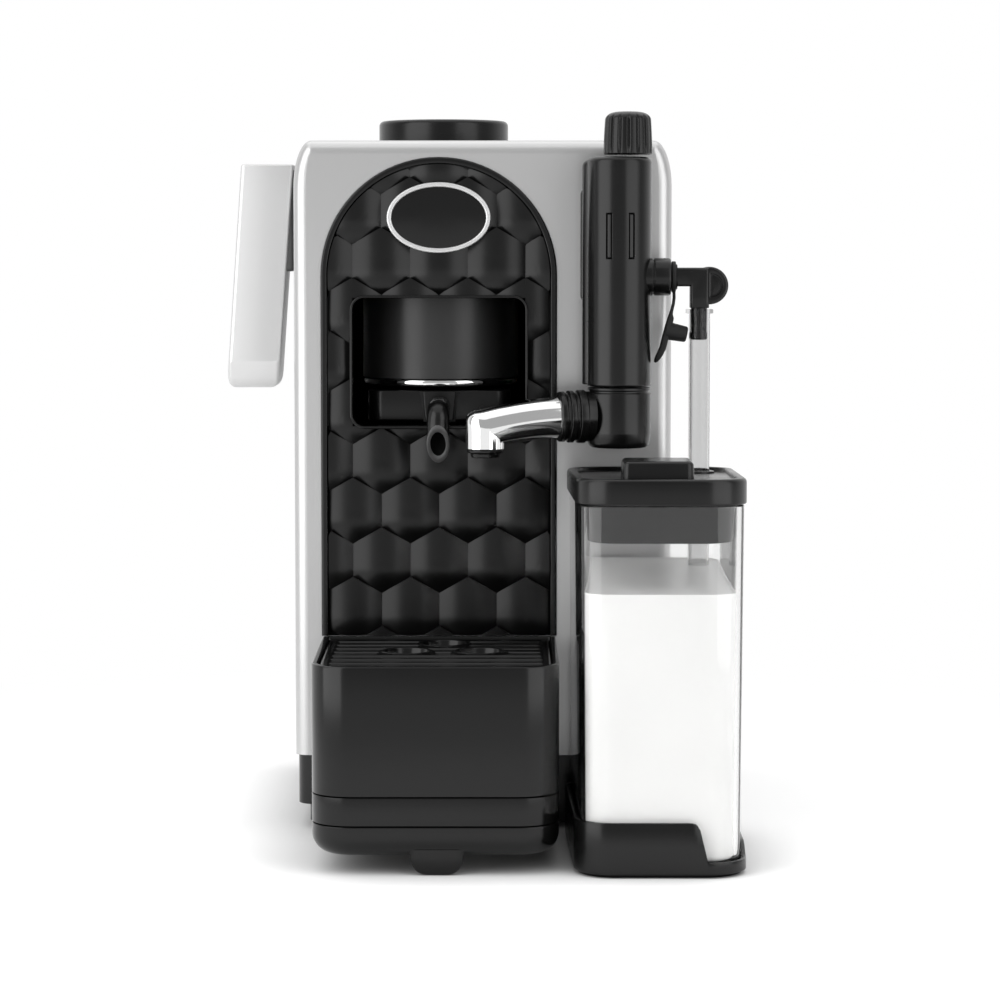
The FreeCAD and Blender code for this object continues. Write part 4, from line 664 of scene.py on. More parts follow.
def frotherBracket(left, right, low, high, corner, front, neck):
    # flat plate on the housing with rounded corners, and a neck that carries the saddle
    section = [(10, 0, 0), (0, 0, 0), (0, front, 0.8), (4, front, 0), (4, neck, 0), (10, neck, 0)]
    return gridPiece("frotherBracket", frontLoft(span(left, right), span(low, high), corner, section))


knobSet = dict(x=58.9, y=-20.0, r=9.9, waist=9.35, low=279.5, high=296.8, grooves=16, groove=0.75, width=3.2,
               cap=3.4)


def frotherKnob(x, y, r, waist, low, high, grooves, groove, width, cap):
    # turned knob that narrows upwards to a domed cap; thin upright grooves fade out below the dome
    crown = high - cap
    foot = roundedLine([(0.3, low, 0), (r, low, 0.6), (r - 0.1, low + 2, 0)], 4)
    rise = np.linspace(0.15, 1, 14)
    side = np.stack([r - (r - waist) * rise ** 1.5, low + 1 + rise * (crown - low - 1)], axis=1)
    across, up = compass(np.linspace(0, 1, 14)[1:] * math.pi / 2).T
    dome = np.stack([0.3 + (waist - 0.3) * across ** 0.55, crown + cap * up ** 1.1], axis=1)
    radius, height = np.concatenate([foot[:-1], side, dome]).T[:, :, None]
    angle = around(480)
    phase = angle * grooves / (2 * math.pi)
    off = np.abs(phase - np.round(phase)) * 360 / grooves
    fade = ramp(height, low + 0.4, low + 0.9) * ramp(height, high - 0.9, high - 3.3)
    radius = radius - fade * (groove * np.exp(-(off / width) ** 2))
    grid = place(x + radius * np.cos(angle), y + radius * np.sin(angle), height)
    return gridPiece("frotherKnob", grid, sharp=50.0)


swivelSet = dict(r=13.0, low=161.0, high=185.5, neck=6.95, top=195.9)


def swivelHead(r, low, high, neck, top):
    # drum under the barrel: stepped upper edge, rounded foot and a spigot that goes up into the barrel
    return turnedPiece("swivelHead", [
        (0.3, low, 0), (r - 0.6, low, 2.6), (r, low + 6, 1), (r, high - 2.2, 0.5), (r - 0.9, high - 2.2, 0.3),
        (r - 0.9, high - 1.2, 0.3), (r - 0.3, high - 1.2, 0.3), (r - 0.3, high, 0.4), (neck, high, 0.2),
        (neck, top, 0.4), (0.3, top, 0)], *pick(frotherSet, "x y"), 112, 4)


armSet = dict(swing=11.0, height=173.7, start=11.0, end=25.4)
armWay = -compass(math.radians(armSet["swing"]))  # direction of the arm in plan


def alongArm(reach, height):
    return place(frotherSet["x"] + armWay[0] * reach, frotherSet["y"] + armWay[1] * reach, height)


def spoutCollar(height, start, end, **others):
    # turned collar with two grooves, its axis along the arm
    grid = lathe([
        (0.3, start, 0), (10.2, start, 0), (10.2, 14.2, 0.3), (10.8, 14.6, 0.3), (10.8, 17.4, 0.4),
        (9.8, 17.9, 0.3), (9.8, 19.0, 0.3), (10.6, 19.4, 0.3), (10.6, 21.2, 0.4), (9.7, 21.7, 0.3),
        (9.7, 22.6, 0.3), (10.3, 23.0, 0.4), (10.1, end, 0.9), (7.8, end, 0.3), (7.8, end - 2, 0),
        (0.3, end - 2, 0)], 3, alongArm(0.0, height), (*armWay, 0))
    return gridPiece("spoutCollar", grid, sharp=40.0)


chromeSet = dict(root=22.6, end=54.8, fall=4.2, tip=161.2, rootR=8.3, tipR=7.9, wall=1.0, bend=0.6,
                 square=0.16)


def chromeSpout(root, end, fall, tip, rootR, tipR, wall, bend, square):
    # round section carried along the falling arm, turned down at a tight corner and dropped to the tip;
    # through the corner the section stretches in the bend's plane, which squares the outside
    share = np.linspace(0, 1, 36)
    reach = root + (end - root) * share
    height = armSet["height"] - 0.2 - fall * share ** 1.8
    slope = np.arctan2(-1.8 * fall * share ** 0.8, end - root)
    keep = reach < end - 0.8
    turn = np.linspace(slope[-1], -math.pi / 2, 13)
    centre = np.array([end, height[-1]]) + bend * np.array([math.sin(slope[-1]), -math.cos(slope[-1])])
    corner = centre + bend * np.stack([-np.sin(turn), np.cos(turn)], axis=1)
    still = np.zeros(7)
    drop = np.stack([still + corner[-1, 0], np.linspace(corner[-1, 1] - 0.8, tip, 7)], axis=1)
    line = np.concatenate([np.stack([reach[keep], height[keep]], axis=1), corner, drop])
    way = np.concatenate([slope[keep], turn, still - math.pi / 2])[:, None]
    stretch = np.concatenate([np.zeros(keep.sum()), np.sin(np.linspace(0, math.pi, 13)) ** 2, still])[:, None]
    radius = np.linspace(rootR, tipR, len(line))[:, None]
    angle = around(72)

    def skin(inset, rows):
        r = radius[rows] - inset
        lift = r * (1 + square * stretch[rows]) * np.sin(angle)
        along = alongArm(line[rows, :1] - np.sin(way[rows]) * lift, line[rows, 1:] + np.cos(way[rows]) * lift)
        return along + (r * np.cos(angle))[..., None] * mm * np.array([-armWay[1], armWay[0], 0])

    every = np.arange(len(line))
    grid = np.concatenate([skin(0.0, every), skin(wall, every[:-7:-1])])
    return gridPiece("chromeSpout", grid, sharp=60.0), corner[-1, 0]


def outletRing(reach):
    # short black nozzle in the spout's mouth
    grid = lathe([
        (3.8, 162.4, 0), (6.4, 162.4, 0), (6.4, 161.0, 0.1), (7.5, 160.9, 0.3), (7.3, 159.6, 0.5),
        (6.0, 159.2, 0.3), (5.7, 157.6, 0.5), (4.6, 157.5, 0.3), (3.8, 158.4, 0)
    ], 3, alongArm(reach, 0.0), turns=72)
    return gridPiece("outletRing", grid, sharp=40.0, ring=True)


frotherBody = joinGrids("frotherBody", [frotherBarrel(**frotherSet), barrelSaddle(**saddleSet)], sharp=40.0)
dress(frotherBody, "blackPlastic", "machine", "frother_barrel")
dress(frotherBracket(**bracketSet), "blackPlastic", "machine", "frother_bracket")
dress(frotherKnob(**knobSet), "blackPlastic", "foam_knob", "frother_knob")
dress(swivelHead(**swivelSet), "blackPlastic", "milk_spout", "swivel_head")
dress(spoutCollar(**armSet), "blackPlastic", "milk_spout", "spout_collar")
spoutPiece, spoutReach = chromeSpout(**chromeSet)
dress(spoutPiece, "chrome", "milk_spout", "chrome_spout", slot="chrome")
dress(outletRing(spoutReach), "blackPlastic", "milk_spout", "outlet_ring")
print("frother ready")


# Drip tray: box, band, pan with its tab, and the grille

traySet = dict(left=-66.1, right=30.2, front=-101.0, back=-0.3, corner=16.0, backCorner=3.0, top=81.4,
               seamHigh=30.8, seamLow=19.4, bottom=7.2, foot=8.0, seam=0.22, rim=2.4, well=40.0)
tabSet = dict(x=-17.2, y=-96.0, half=10.3, foot=4.6, top=10.2, low=0.3, thick=3.4, neck=2.9, flare=1.1)


def trayLoft(corners, rounds=5):
    # the tray's plan carried along a section of (inset, height, corner radius)
    left, right, front, back = pick(traySet, "left right front back")
    radii = pick(traySet, "backCorner backCorner corner corner")
    return planLoft(span(left, right), span(front, back), radii, corners, rounds, 14)


def trayTab(x, y, half, foot, top, low, thick, neck, flare):
    # tongue under the tray: rounded rectangle whose width follows a quarter ellipse down to its foot
    first = np.array([0.0, 1.2, 2.2, neck])
    inward, down = compass(np.linspace(0, math.pi / 2, 14)[1:]).T
    drop = np.concatenate([first, neck + (top - low - neck) * down])[:, None]
    wide = flare * np.clip(1 - first / neck, 0, 1) ** 2
    width = np.concatenate([half + wide, foot + (half - foot) * inward])[:, None]
    deep = np.concatenate([np.full(4, thick), thick * (0.55 + 0.45 * inward)])[:, None]
    ring = oneRing((1.0, 1.0), 0.34, 6)
    return place(x + width * ring[:, 0], y + deep * ring[:, 1], top - drop)


def makeTray(top, seamHigh, seamLow, bottom, foot, seam, rim, well, **others):
    boxFoot, bandTop, bandFoot, panTop = seamHigh + seam, seamHigh - seam, seamLow + seam, seamLow - seam
    box = [(9, boxFoot, 0), (0, boxFoot, 0.3), (0, top, 0.7), (rim, top, 0.5), (rim + 0.8, well, 4),
           (40, well, 0)]
    band = [(9, bandFoot, 0), (0, bandFoot, 0.3), (0, bandTop, 0.3), (9, bandTop, 0)]
    pan = [(30, bottom, 0), (0, bottom, foot), (0, panTop, 0.3), (9, panTop, 0)]
    pieces = (("trayBox", "tray_box", trayLoft(box)), ("trayBand", "tray_band", trayLoft(band)),
              ("trayPan", "tray_pan", trayLoft(pan, 10), trayTab(**tabSet)))
    for name, node, *grids in pieces:
        dress(joinGrids(name, grids), "trayBlack", "drip_tray", node)


grilleSet = dict(left=-63.2, right=27.3, front=-98.1, back=-3.2, corner=10.4, top=80.4, under=77.2,
                 pitch=11.4, first=-90.0, rib=0.5, soft=0.6, sink=0.6, border=3.2)
drainSet = dict(x=-15.6, y=-34.0, ring=17.0, r=9.5, rim=1.2, depth=6.0)
drainPlaces = np.array(pick(drainSet, "x y")) + drainSet["ring"] * compass(np.radians([90, 210, 330]))


def gridPlate(left, right, front, back, corner, top, under, pitch, first, rib, soft, sink, border):
    # height over the plan: a sunk bed crossed by thin ribs, with a raised border and a land round the drains
    steps = np.array([0.3, 0.55, 0.8, 1.05, 1.25, 1.6])  # rows stand close across each rib
    fine = first + pitch * np.arange(9)[:, None] + np.concatenate([-steps[::-1], [0], steps])
    y = np.unique(np.concatenate([np.linspace(front, back, 70), fine.ravel()]))
    y = y[(y >= front) & (y <= back)][:, None]
    drawn = np.maximum(corner - (y - front), 0)
    narrow = corner - np.sqrt(np.maximum(corner ** 2 - drawn ** 2, 0))
    middle, half = span(left, right)
    x = middle + np.linspace(-1, 1, 151) * (half - narrow)
    phase = (y - first) / pitch
    sunk = ramp(np.abs(phase - np.round(phase)) * pitch, rib, rib + soft)
    room = np.minimum(half - narrow - np.abs(x - middle), np.minimum(y - front, back - y))
    away = np.min([np.hypot(x - cx, y - cy) for cx, cy in drainPlaces], axis=0)
    land = drainSet["r"] + 1.6
    sunk = sunk * ramp(room, border, border + soft) * ramp(away, land, land + soft)
    level = top - sink * sunk - 0.35 * np.clip(1 - room / 0.8, 0, 1) ** 2
    level = np.where(away < drainSet["r"] - 0.2, under + 0.3, level)
    return np.concatenate([place(x, y, level), place(x, y, under)[:, ::-1]], axis=1)


def drainCups(r, rim, depth, **others):
    # turned cups with a low rim, let into the grille
    top = grilleSet["top"]
    floor, crest = top - depth, top + 0.25
    corners = [(0.3, floor - 1, 0), (r - 1.5, floor - 1, 1.5), (r + rim, crest, 0.5), (r - 0.3, crest, 0.5),
               (r - 2.2, floor, 2.5), (0.3, floor, 0)]
    return [lathe(corners, 5, place(x, y, 0), turns=64) for x, y in drainPlaces]


makeTray(**traySet)
dripGrille = joinGrids("dripGrille", [gridPlate(**grilleSet), *drainCups(**drainSet)], sharp=30.0)
dress(dripGrille, "trayBlack", "grille", "drip_grille")
print("drip tray ready")


# Pod holder with its tongue, the coffee outlet and the ring of the brew head

holderSet = dict(x=-18.0, y=42.0, r=29.9, low=170.0, high=182.7, seat=179.7, pod=22.6, corner=7.0)
tongueSet = dict(x=-18.0, front=10.4, back=14.0, half=6.7, foot=5.7, high=182.2, low=170.6)
tongueShadeSet = {**tongueSet, "front": tongueSet["front"] + 1.2, "grow": 0.9}


def holderBody(x, y, r, low, high, seat, pod, corner):
    # cup with a flat front and a round back, hollowed by a seat for the pod
    wall = r - pod
    section = [(r - 0.4, low, 0), (0, low, 0.8), (0, high, 0.6), (wall, high, 0.6), (wall + 0.4, seat, 0.5),
               (r - 0.4, seat, 0)]
    return planLoft((x, r), (y, r), (r, r, corner, corner), section, 5, 24, hairRound)


def holderTongue(x, front, back, half, foot, high, low, grow=0.0):
    # upright tongue: rounded rectangle in plan whose width flares near its top
    z = np.linspace(low - grow, high, 24)[:, None]
    up = (z - low) / (high - low)
    wide = foot + (half - foot) * np.clip(up, 0, 1) ** 0.8 + grow + 5.0 * grow * np.clip(up - 0.8, 0, 1)
    ring = oneRing((1.0, 1.0), 0.12, 5)
    y, deep = span(front, back)
    return place(x + wide * ring[:, 0], y + deep * ring[:, 1], z)


outletSet = dict(x=-18.0, z=175.8, r=4.6, bore=3.2, start=14.0, bend=5.4, drop=-20.6, front=169.6, low=154.4)


def coffeeOutlet(x, z, r, bore, start, bend, drop, front, low):
    # round tube that runs forward, bends down and is cut slantwise, then returns as its own bore
    back, down = compass(np.linspace(0, math.pi / 2, 18)).T
    knee = np.stack([drop + bend - bend * down, z - bend + bend * back], axis=1)
    line = np.concatenate([[[start, z], [4.0, z], [-6.0, z]], knee, [[drop, z - bend - 0.3]]])
    along = np.gradient(line, axis=0)
    along /= np.linalg.norm(along, axis=1)[:, None]
    across, up = compass(around(48)).T
    skin = place(x + r * across, line[:, :1] + r * along[:, 1:] * up, line[:, 1:] - r * along[:, :1] * up)

    def cutRing(radius, lift=0.0):
        y = drop - radius * up
        share = (y - (drop - r)) / (2 * r)
        return place(x + radius * across, y, front + (low - front) * share + lift)

    lip = [cutRing(*cut) for cut in ((r + 0.05, 0.6), (r - 0.05, 0.0), (r - 0.3, -0.25), (bore + 0.3, -0.25),
                                     (bore, 0.1), (bore - 0.05, 2.0))]
    throat = np.stack([cutRing(bore - 0.1, 0.5), cutRing(bore - 0.3)])
    throat[1, :, 2] = (z - 1.0) * mm
    return np.concatenate([skin, cutRing(r, 0.4)[None]]), np.stack(lip), throat


headRingSet = dict(x=-18.0, y=42.0, r=32.6, bore=27.3, bulge=1.55)


def headRing(x, y, r, bore, bulge):
    # turned ring with a rounded outer face, under the brew head
    low, high = (corner[2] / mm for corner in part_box("head_ring"))
    corners = [(bore, low, 0), (r, low, bulge), (r, high, bulge), (bore, high, 0), (bore, low + 0.02, 0)]
    return turnedPiece("headRing", corners, x, y, 128, 8, 40.0)


outletTube, outletLip, outletThroat = coffeeOutlet(**outletSet)
podHolder = joinGrids("podHolder", [holderBody(**holderSet), holderTongue(**tongueSet)])
dress(podHolder, "blackPlastic", "machine", "pod_holder", "pod_rim")
# a slightly larger matte plate behind the tongue shows as a dark outline round it: painted shade in the
# groove
dress(gridPiece("tongueSeam", holderTongue(**tongueShadeSet)), "rubber", "machine", slot="rubber")
tubePiece = gridPiece("coffeeOutlet", outletTube, sharp=40.0, capLast=False)
dress(tubePiece, "blackPlastic", "machine", "coffee_spout")
lipPiece = gridPiece("outletLip", outletLip, sharp=40.0, capFirst=False, capLast=False)
# the lip's lighter grey is a painted highlight on the slanted cut
dress(lipPiece, "lipGrey", "machine")
# the bore is near-black and matte: painted shade inside the outlet
dress(gridPiece("outletThroat", outletThroat, capFirst=False), "recessBlack", "machine")
dress(headRing(**headRingSet), "chrome", "brew_group", "head_ring", slot=None)
print("pod holder ready")


# Filler lid and the two buttons on the top

lidSet = dict(x=-18.0, y=122.0, r=28.8, foot=286.6, high=298.3, plug=277.4, neck=24.4, edge=2.2)
buttonSet = dict(y=42.0, r=7.0, high=286.6, low=281.7, flange=8.5, dish=0.5)
buttonPlaces = dict(coffee=41.0, steam=60.0)


def fillerLid(x, y, r, foot, high, plug, neck, edge):
    deck = high - 0.7
    corners = [(0.4, plug, 0), (neck, plug, 1.0), (neck, foot, 0), (r, foot, 0.6), (r, high, edge),
               (r - 6, high, 0.5), (r - 6.6, deck, 0.5), (0.4, deck, 0)]
    return turnedPiece("fillerLid", corners, x, y, 128, 6, 32.0)


def pushButton(name, x, y, r, high, low, flange, dish):
    step, deck = low + 1.5, high - dish
    corners = [(0.3, low, 0), (flange, low, 0.2), (flange, step, 0.2), (r, step, 0), (r, high, 0.7),
               (r - 2.2, high, 1.0), (r - 3.4, deck, 1.0), (0.3, deck, 0)]
    return turnedPiece(name, corners, x, y, 72, 5, 32.0)


dress(fillerLid(**lidSet), "blackPlastic", "filler_lid", "tank_lid")
for key, node in (("coffee", "brew_button"), ("steam", "steam_button")):
    button = pushButton(key + "Button", buttonPlaces[key], **buttonSet)
    dress(button, "blackPlastic", key + "_key", node)
print("lid and buttons ready")


# Milk jug: cradle, clear jug, milk, lid with its skirt and grip

jugSet = dict(x=68.3, y=-53.0, halfX=34.2, halfY=52.0, corner=14.2, floor=2.6, wall=2.2, inset=1.2, draft=1.0,
              rim=143.3, milk=109.0, gap=0.3, taper=2.4)
jugX, jugY, jugHalfX, jugHalfY = pick(jugSet, "x y halfX halfY")
jugMiddle = place(jugX, jugY, 0)


def jugAhead(points):
    # 0 at the back of the jug, 1 at its front
    return 0.5 + (jugMiddle[1] - points[..., 1]) / (2 * jugHalfY * mm)


def drawnIn(points):
    # the left wall runs inwards to the front: points shift right by how far left and forward they lie
    left = np.clip((jugMiddle[0] - points[..., 0]) / (jugHalfX * mm), 0, 1)
    points[..., 0] += jugSet["taper"] * mm * left * np.clip(jugAhead(points), 0, 1)
    return points


def jugLoft(corner, corners, rounds=5):
    # the jug's plan carried along a section of (inset, height, corner radius)
    return drawnIn(planLoft((jugX, jugHalfX), (jugY, jugHalfY), corner, corners, rounds, 12))


def clearJug(corner, floor, wall, inset, draft, rim, **others):
    low, inside = inset + draft, floor + wall
    section = [(28, inside, 0), (low + wall, inside, 3.0), (inset + wall, rim, 0.5), (inset, rim, 0.5),
               (low, floor, 3.5), (28, floor, 0)]
    return gridPiece("clearJug", jugLoft(corner, section, 6), sharp=50.0)


def milkFill(corner, floor, wall, inset, draft, rim, milk, gap, **others):
    # fills the jug up to a level with a slight lip at the wall; its skin lies a hair inside the plastic
    floor = floor + wall + 0.1
    low = inset + draft + wall + gap
    high = low - draft * (milk - floor) / (rim - floor)
    section = [(28, floor, 0), (low, floor, 2.9), (high, milk + 0.5, 0), (high + 0.25, milk + 0.5, 0.1),
               (high + 1.4, milk, 0.8), (28, milk, 0)]
    return gridPiece("milkFill", jugLoft(corner, section), sharp=50.0)


capSet = dict(corner=17.0, foot=143.6, high=152.0, lift=1.9, rim=3.4, deck=150.3)
skirtSet = dict(foot=128.8, topInset=4.0, footInset=4.9)
gripSet = dict(half=13.9, front=-93.0, back=-67.0, low=149.5, high=160.0, corner=3.0, edge=1.8)


def lidCap(corner, foot, high, lift, rim, deck):
    # the lid's section carried round its plan; the top rises evenly towards the front
    cap = jugLoft(corner, [(22, foot, 0), (0, foot, 0.7), (0, high, 1.5), (rim, high, 0.9),
                           (rim + 0.7, deck, 0.7), (24, deck, 0)])
    cap[..., 2] += lift * mm * jugAhead(cap) * ramp(cap[..., 2] / mm, foot, high)
    return cap


def lidSkirt(foot, topInset, footInset):
    top = capSet["foot"]
    section = [(22, top + 0.3, 0), (topInset, top + 0.3, 0), (footInset, foot, 0.6),
               (footInset + 2.4, foot, 0.6), (footInset + 2.2, top - 2, 0), (22, top - 2, 0)]
    return gridPiece("lidSkirt", jugLoft(capSet["corner"], section))


def lidGrip(half, front, back, low, high, corner, edge):
    # block with rounded upright corners and a rounded top edge
    section = [(9, low, 0), (0, low, 0), (0.4, high, edge), (9, high, 0)]
    return planLoft((jugX, half), span(front, back), corner, section, 6, 8)


tubeSet = dict(x=88.1, y=-20.0, r=4.3, bore=3.5, low=16.7, high=217.2, flange=5.6, flangeH=1.8)


def lidCollar(x, y, r, **others):
    # low turned collar where the tube goes through the lid
    deck = capSet["deck"]
    corners = [(r + 0.15, deck - 1, 0), (r + 2.2, deck - 1, 0), (r + 2.0, deck + 1.2, 0.5),
               (r + 0.15, deck + 1.2, 0.3), (r + 0.12, deck - 0.9, 0)]
    return lathe(corners, 4, place(x, y, 0), turns=48)


cradleSet = dict(halfX=34.6, halfY=52.4, corner=15.6, wall=1.9, floor=2.5)
wallSet = dict(high=21.6, low=6.2, side=10.6, shoulder=79.0, foot=86.8, turn=-90.0, climb=-78.0,
               backFall=92.0, rightOf=90.0, frontOf=-80.0, backOf=-20.0)


def cradleTop(x, y, high, low, side, shoulder, foot, turn, climb, backFall, rightOf, frontOf, backOf):
    # height of the wall's top: full in front and on the left, low at the right corner, half-high on the right
    def smooth(share):
        return share * share * (3 - 2 * share)

    share = ramp(x, shoulder, foot)
    inFront = high + (low - high) * np.clip(0.35 * share ** 3 + 0.65 * ramp(share, 0.55, 1.0) ** 1.6, 0, 1)
    onRight = low + (side - low) * smooth(ramp(y, turn, climb))
    atBack = side + (high - side) * smooth(ramp(x, backFall, backFall - 10))
    ahead = np.where(x > foot, onRight, inFront)
    behind = np.where(x > rightOf, onRight, np.where(y > backOf, atBack, high))
    return np.where(y < frontOf, ahead, behind)


def jugCradle(halfX, halfY, corner, wall, floor):
    # tray whose wall is carried round the jug's plan; each point of the wall ends at its own height
    inset, share, drop = np.array([  # inset, share of the wall's height, drop below its top
        (26, 0, 0), (wall + 0.6, 0, 0), (wall + 0.1, 0.06, 0), (wall, 0.5, 0), (wall, 1, -0.5),
        (wall - 0.15, 1, -0.15), (wall - 0.5, 1, 0), (0.5, 1, 0), (0.15, 1, -0.15), (0, 1, -0.5), (0, 0.5, 0),
        (0, 0, 0)]).T
    arcs = np.split(planRing((halfX, halfY), corner, inset, 28, softRound), 4, axis=1)
    along = np.linspace(0, 1, 26)[1:-1, None]  # extra columns along the four straight sides
    sides = [arcs[k][:, -1:] * (1 - along) + arcs[(k + 1) % 4][:, :1] * along for k in range(4)]
    ring = np.concatenate([part for pair in zip(arcs, sides) for part in pair], axis=1)
    outer = ring[-1]
    top = cradleTop(jugX + outer[:, 0], jugY + outer[:, 1], **wallSet)
    height = floor + share[:, None] * (top - floor) + drop[:, None]
    under = [(0, floor, 0), (0, 1.5, 0.6), (2.4, 1.2, 0.3), (2.6, 0.05, 0.2), (26, 0.05, 0)]
    foot = roundedLine(under, 4)[1:]
    footRing = outer * (1 - foot[:, :1, None] / np.abs(outer).max())
    grid = np.concatenate([ring, footRing])
    heights = np.concatenate([height, np.broadcast_to(foot[:, 1:], footRing.shape[:2])])
    tray = drawnIn(place(jugX + grid[..., 0], jugY + grid[..., 1], heights))
    return gridPiece("jugCradle", tray, sharp=40.0)


dress(clearJug(**jugSet), "clearPlastic", "milk_unit", "milk_jug", slot="clear_plastic")
dress(milkFill(**jugSet), "milkWhite", "milk_unit", slot=None)
jugLid = joinGrids("jugLid", [lidCap(**capSet), lidGrip(**gripSet), lidCollar(**tubeSet)], sharp=32.0)
dress(jugLid, "blackPlastic", "milk_unit", "jug_lid")
dress(lidSkirt(**skirtSet), "blackPlastic", "milk_unit")
dress(jugCradle(**cradleSet), "blackPlastic", "milk_unit", "jug_cradle")
print("milk jug ready")


# Milk tube, elbow, port and tethered stopper

elbowSet = dict(axis=230.15, half=3.8, deep=4.4, corner=1.2, start=71.2, foot=217.6, x=88.0, y=-20.0)
barbSet = dict(r=3.3, low=204.8, x=87.9, y=-20.0)
discSet = dict(x=92.0, z=226.7, r=7.6, front=-23.6, back=-15.0, edge=1.0, flat=92.2, boreX=92.7, boreZ=226.85,
               bore=4.7, depth=1.7, middle=94.2)


def milkTube(x, y, r, bore, low, high, flange, flangeH):
    # open tube with a flange at its top
    under = high - flangeH
    corners = [(bore, low, 0), (r, low, 0.3), (r, under, 0.2), (flange, under, 0.4), (flange, high, 0.4),
               (bore, high, 0)]
    return gridPiece("milkTube", lathe(corners, 4, place(x, y, 0), turns=64), 50.0, ring=True)


def elbowBar(axis, half, deep, corner, start, foot, x, y):
    # rounded square carried along the arm, mitred at the knee and carried down the leg
    u, v = oneRing((half, deep), corner, 6).T
    thin = 0.7052  # size of the square inside the port
    arm = ((start, thin), (78.6, thin), (78.7, 0.86), (79.0, 1), (82.0, 1))  # place, size of the square
    leg = ((222.0, 1), (foot + 0.4, 1), (foot + 0.1, 0.97), (foot, 0.9))
    grid = [place(at, y + size * v, axis + size * u) for at, size in arm]
    grid.append(place(x + u, y + v, axis + u))
    grid += [place(x + size * u, y + size * v, at) for at, size in leg]
    return np.stack(grid)


def elbowDisc(x, z, r, front, back, edge, flat, boreX, boreZ, bore, depth, middle):
    # round boss with a D-shaped hollow: every ring is met by the same fan of rays from the hollow's middle
    ray = compass(around(120))

    def toCircle(cx, cz, radius):
        off = np.array([middle - cx, boreZ - cz])
        along = ray @ off
        return -along + np.sqrt(along ** 2 - off @ off + radius ** 2)

    def toHollow(inset):
        wall = np.where(ray[:, 0] < -tiny, (middle - flat - inset) / np.maximum(-ray[:, 0], tiny), farAway)
        return np.minimum(toCircle(boreX, boreZ, bore - inset), wall)

    turns = compass(np.linspace(0, math.pi / 2, 6))
    rows = [(toCircle(x, z, r - edge), back)]
    rows += [(toCircle(x, z, r - edge * (1 - up)), back - edge * (1 - over)) for over, up in turns]
    rows += [(toCircle(x, z, r - edge * (1 - over)), front + edge * (1 - up)) for over, up in turns]
    rows += [(toHollow(inset), front + deep) for inset, deep in (
        (-0.3, 0), (-0.05, 0.1), (0.05, 0.4), (0.15, depth), (0.5, depth + 0.1), (1.0, depth))]
    return np.stack([place(middle + far * ray[:, 0], y, boreZ + far * ray[:, 1]) for far, y in rows])


def elbowBarb(r, low, x, y):
    # turned plug that goes down into the tube
    high = elbowSet["foot"] + 0.5
    corners = [(0.2, high, 0), (r, high, 0), (r - 0.15, low + 3.2, 0.2), (r + 0.1, low + 2.8, 0.2),
               (r + 0.1, low, 0.8), (0.2, low, 0)]
    return lathe(corners, 4, place(x, y, 0), turns=48)


portSet = dict(y=-20.0, z=230.2, r=7.6, start=65.6, groove=68.9, to=76.4, neck=5.0, end=79.0, bore=4.45,
               floor=71.0)
portMiddle, portAxis = place(0, *pick(portSet, "y z")), (1, 0, 0)
ringSet = dict(inner=5.35, outer=6.3, left=76.75, right=78.4)
plugSet = dict(x=76.6, y=-20.0, z=208.1, way=(5.55, 0, -1.1), r=3.5, length=6.6)


def frotherPort(r, start, groove, to, neck, end, bore, floor, **others):
    # boss with a groove round it, a neck and a bore, turned about an axis to the right
    corners = [(0.3, start, 0), (r, start, 0), (r, groove, 0.2), (r - 0.5, groove + 0.2, 0.2),
               (r - 0.5, groove + 0.7, 0.2), (r, groove + 0.9, 0.3), (r, to, 0.9), (neck, to, 0.2),
               (neck, end - 0.4, 0), (neck + 0.4, end, 0.2), (bore, end, 0.2), (bore, floor, 0.2),
               (0.3, floor, 0)]
    return gridPiece("frotherPort", lathe(corners, 4, portMiddle, portAxis, 72), sharp=32.0)


def stopperRing(inner, outer, left, right):
    corners = [(inner, left, 0), (outer, left, 0.3), (outer, right, 0.3), (inner, right, 0.2),
               (inner, left + 0.05, 0)]
    return lathe(corners, 3, portMiddle, portAxis, 64)


def stopperStrap(y):
    # rounded ribbon along a bent line: each row gives x, height, half thickness and half width
    rows = np.array([
        (77.7, 224.6, 0.6, 1.8), (77.8, 221.8, 0.6, 1.9), (77.5, 219.3, 0.6, 2.0),
        (76.95, 217.0, 0.6, 2.1), (76.5, 215.2, 0.75, 2.3), (76.45, 213.6, 1.25, 2.6),
        (76.0, 211.8, 1.35, 2.9), (75.3, 209.5, 1.35, 3.0), (74.6, 206.8, 1.35, 3.0),
        (73.9, 204.0, 1.35, 3.0), (73.3, 201.6, 1.35, 3.0), (72.3, 199.4, 1.3, 3.0),
        (71.3, 197.6, 1.15, 2.8), (70.5, 196.3, 0.85, 2.3), (70.0, 195.6, 0.35, 1.2)])
    along = np.gradient(rows[:, :2], axis=0)
    along /= np.linalg.norm(along, axis=1)[:, None]
    x, z, thick, wide = rows.T[:, :, None]
    u, v = oneRing((1.0, 1.0), 0.55, 6).T
    return place(x - along[:, 1:] * thick * u, y + wide * v, z + along[:, :1] * thick * u)


def stopperPlug(x, y, z, way, r, length):
    corners = [(0.2, -2.0, 0), (r + 0.2, -2.0, 0), (r, 1.0, 0.4), (r - 0.35, length, 1.0), (0.2, length, 0)]
    return lathe(corners, 5, place(x, y, z), way, 56)


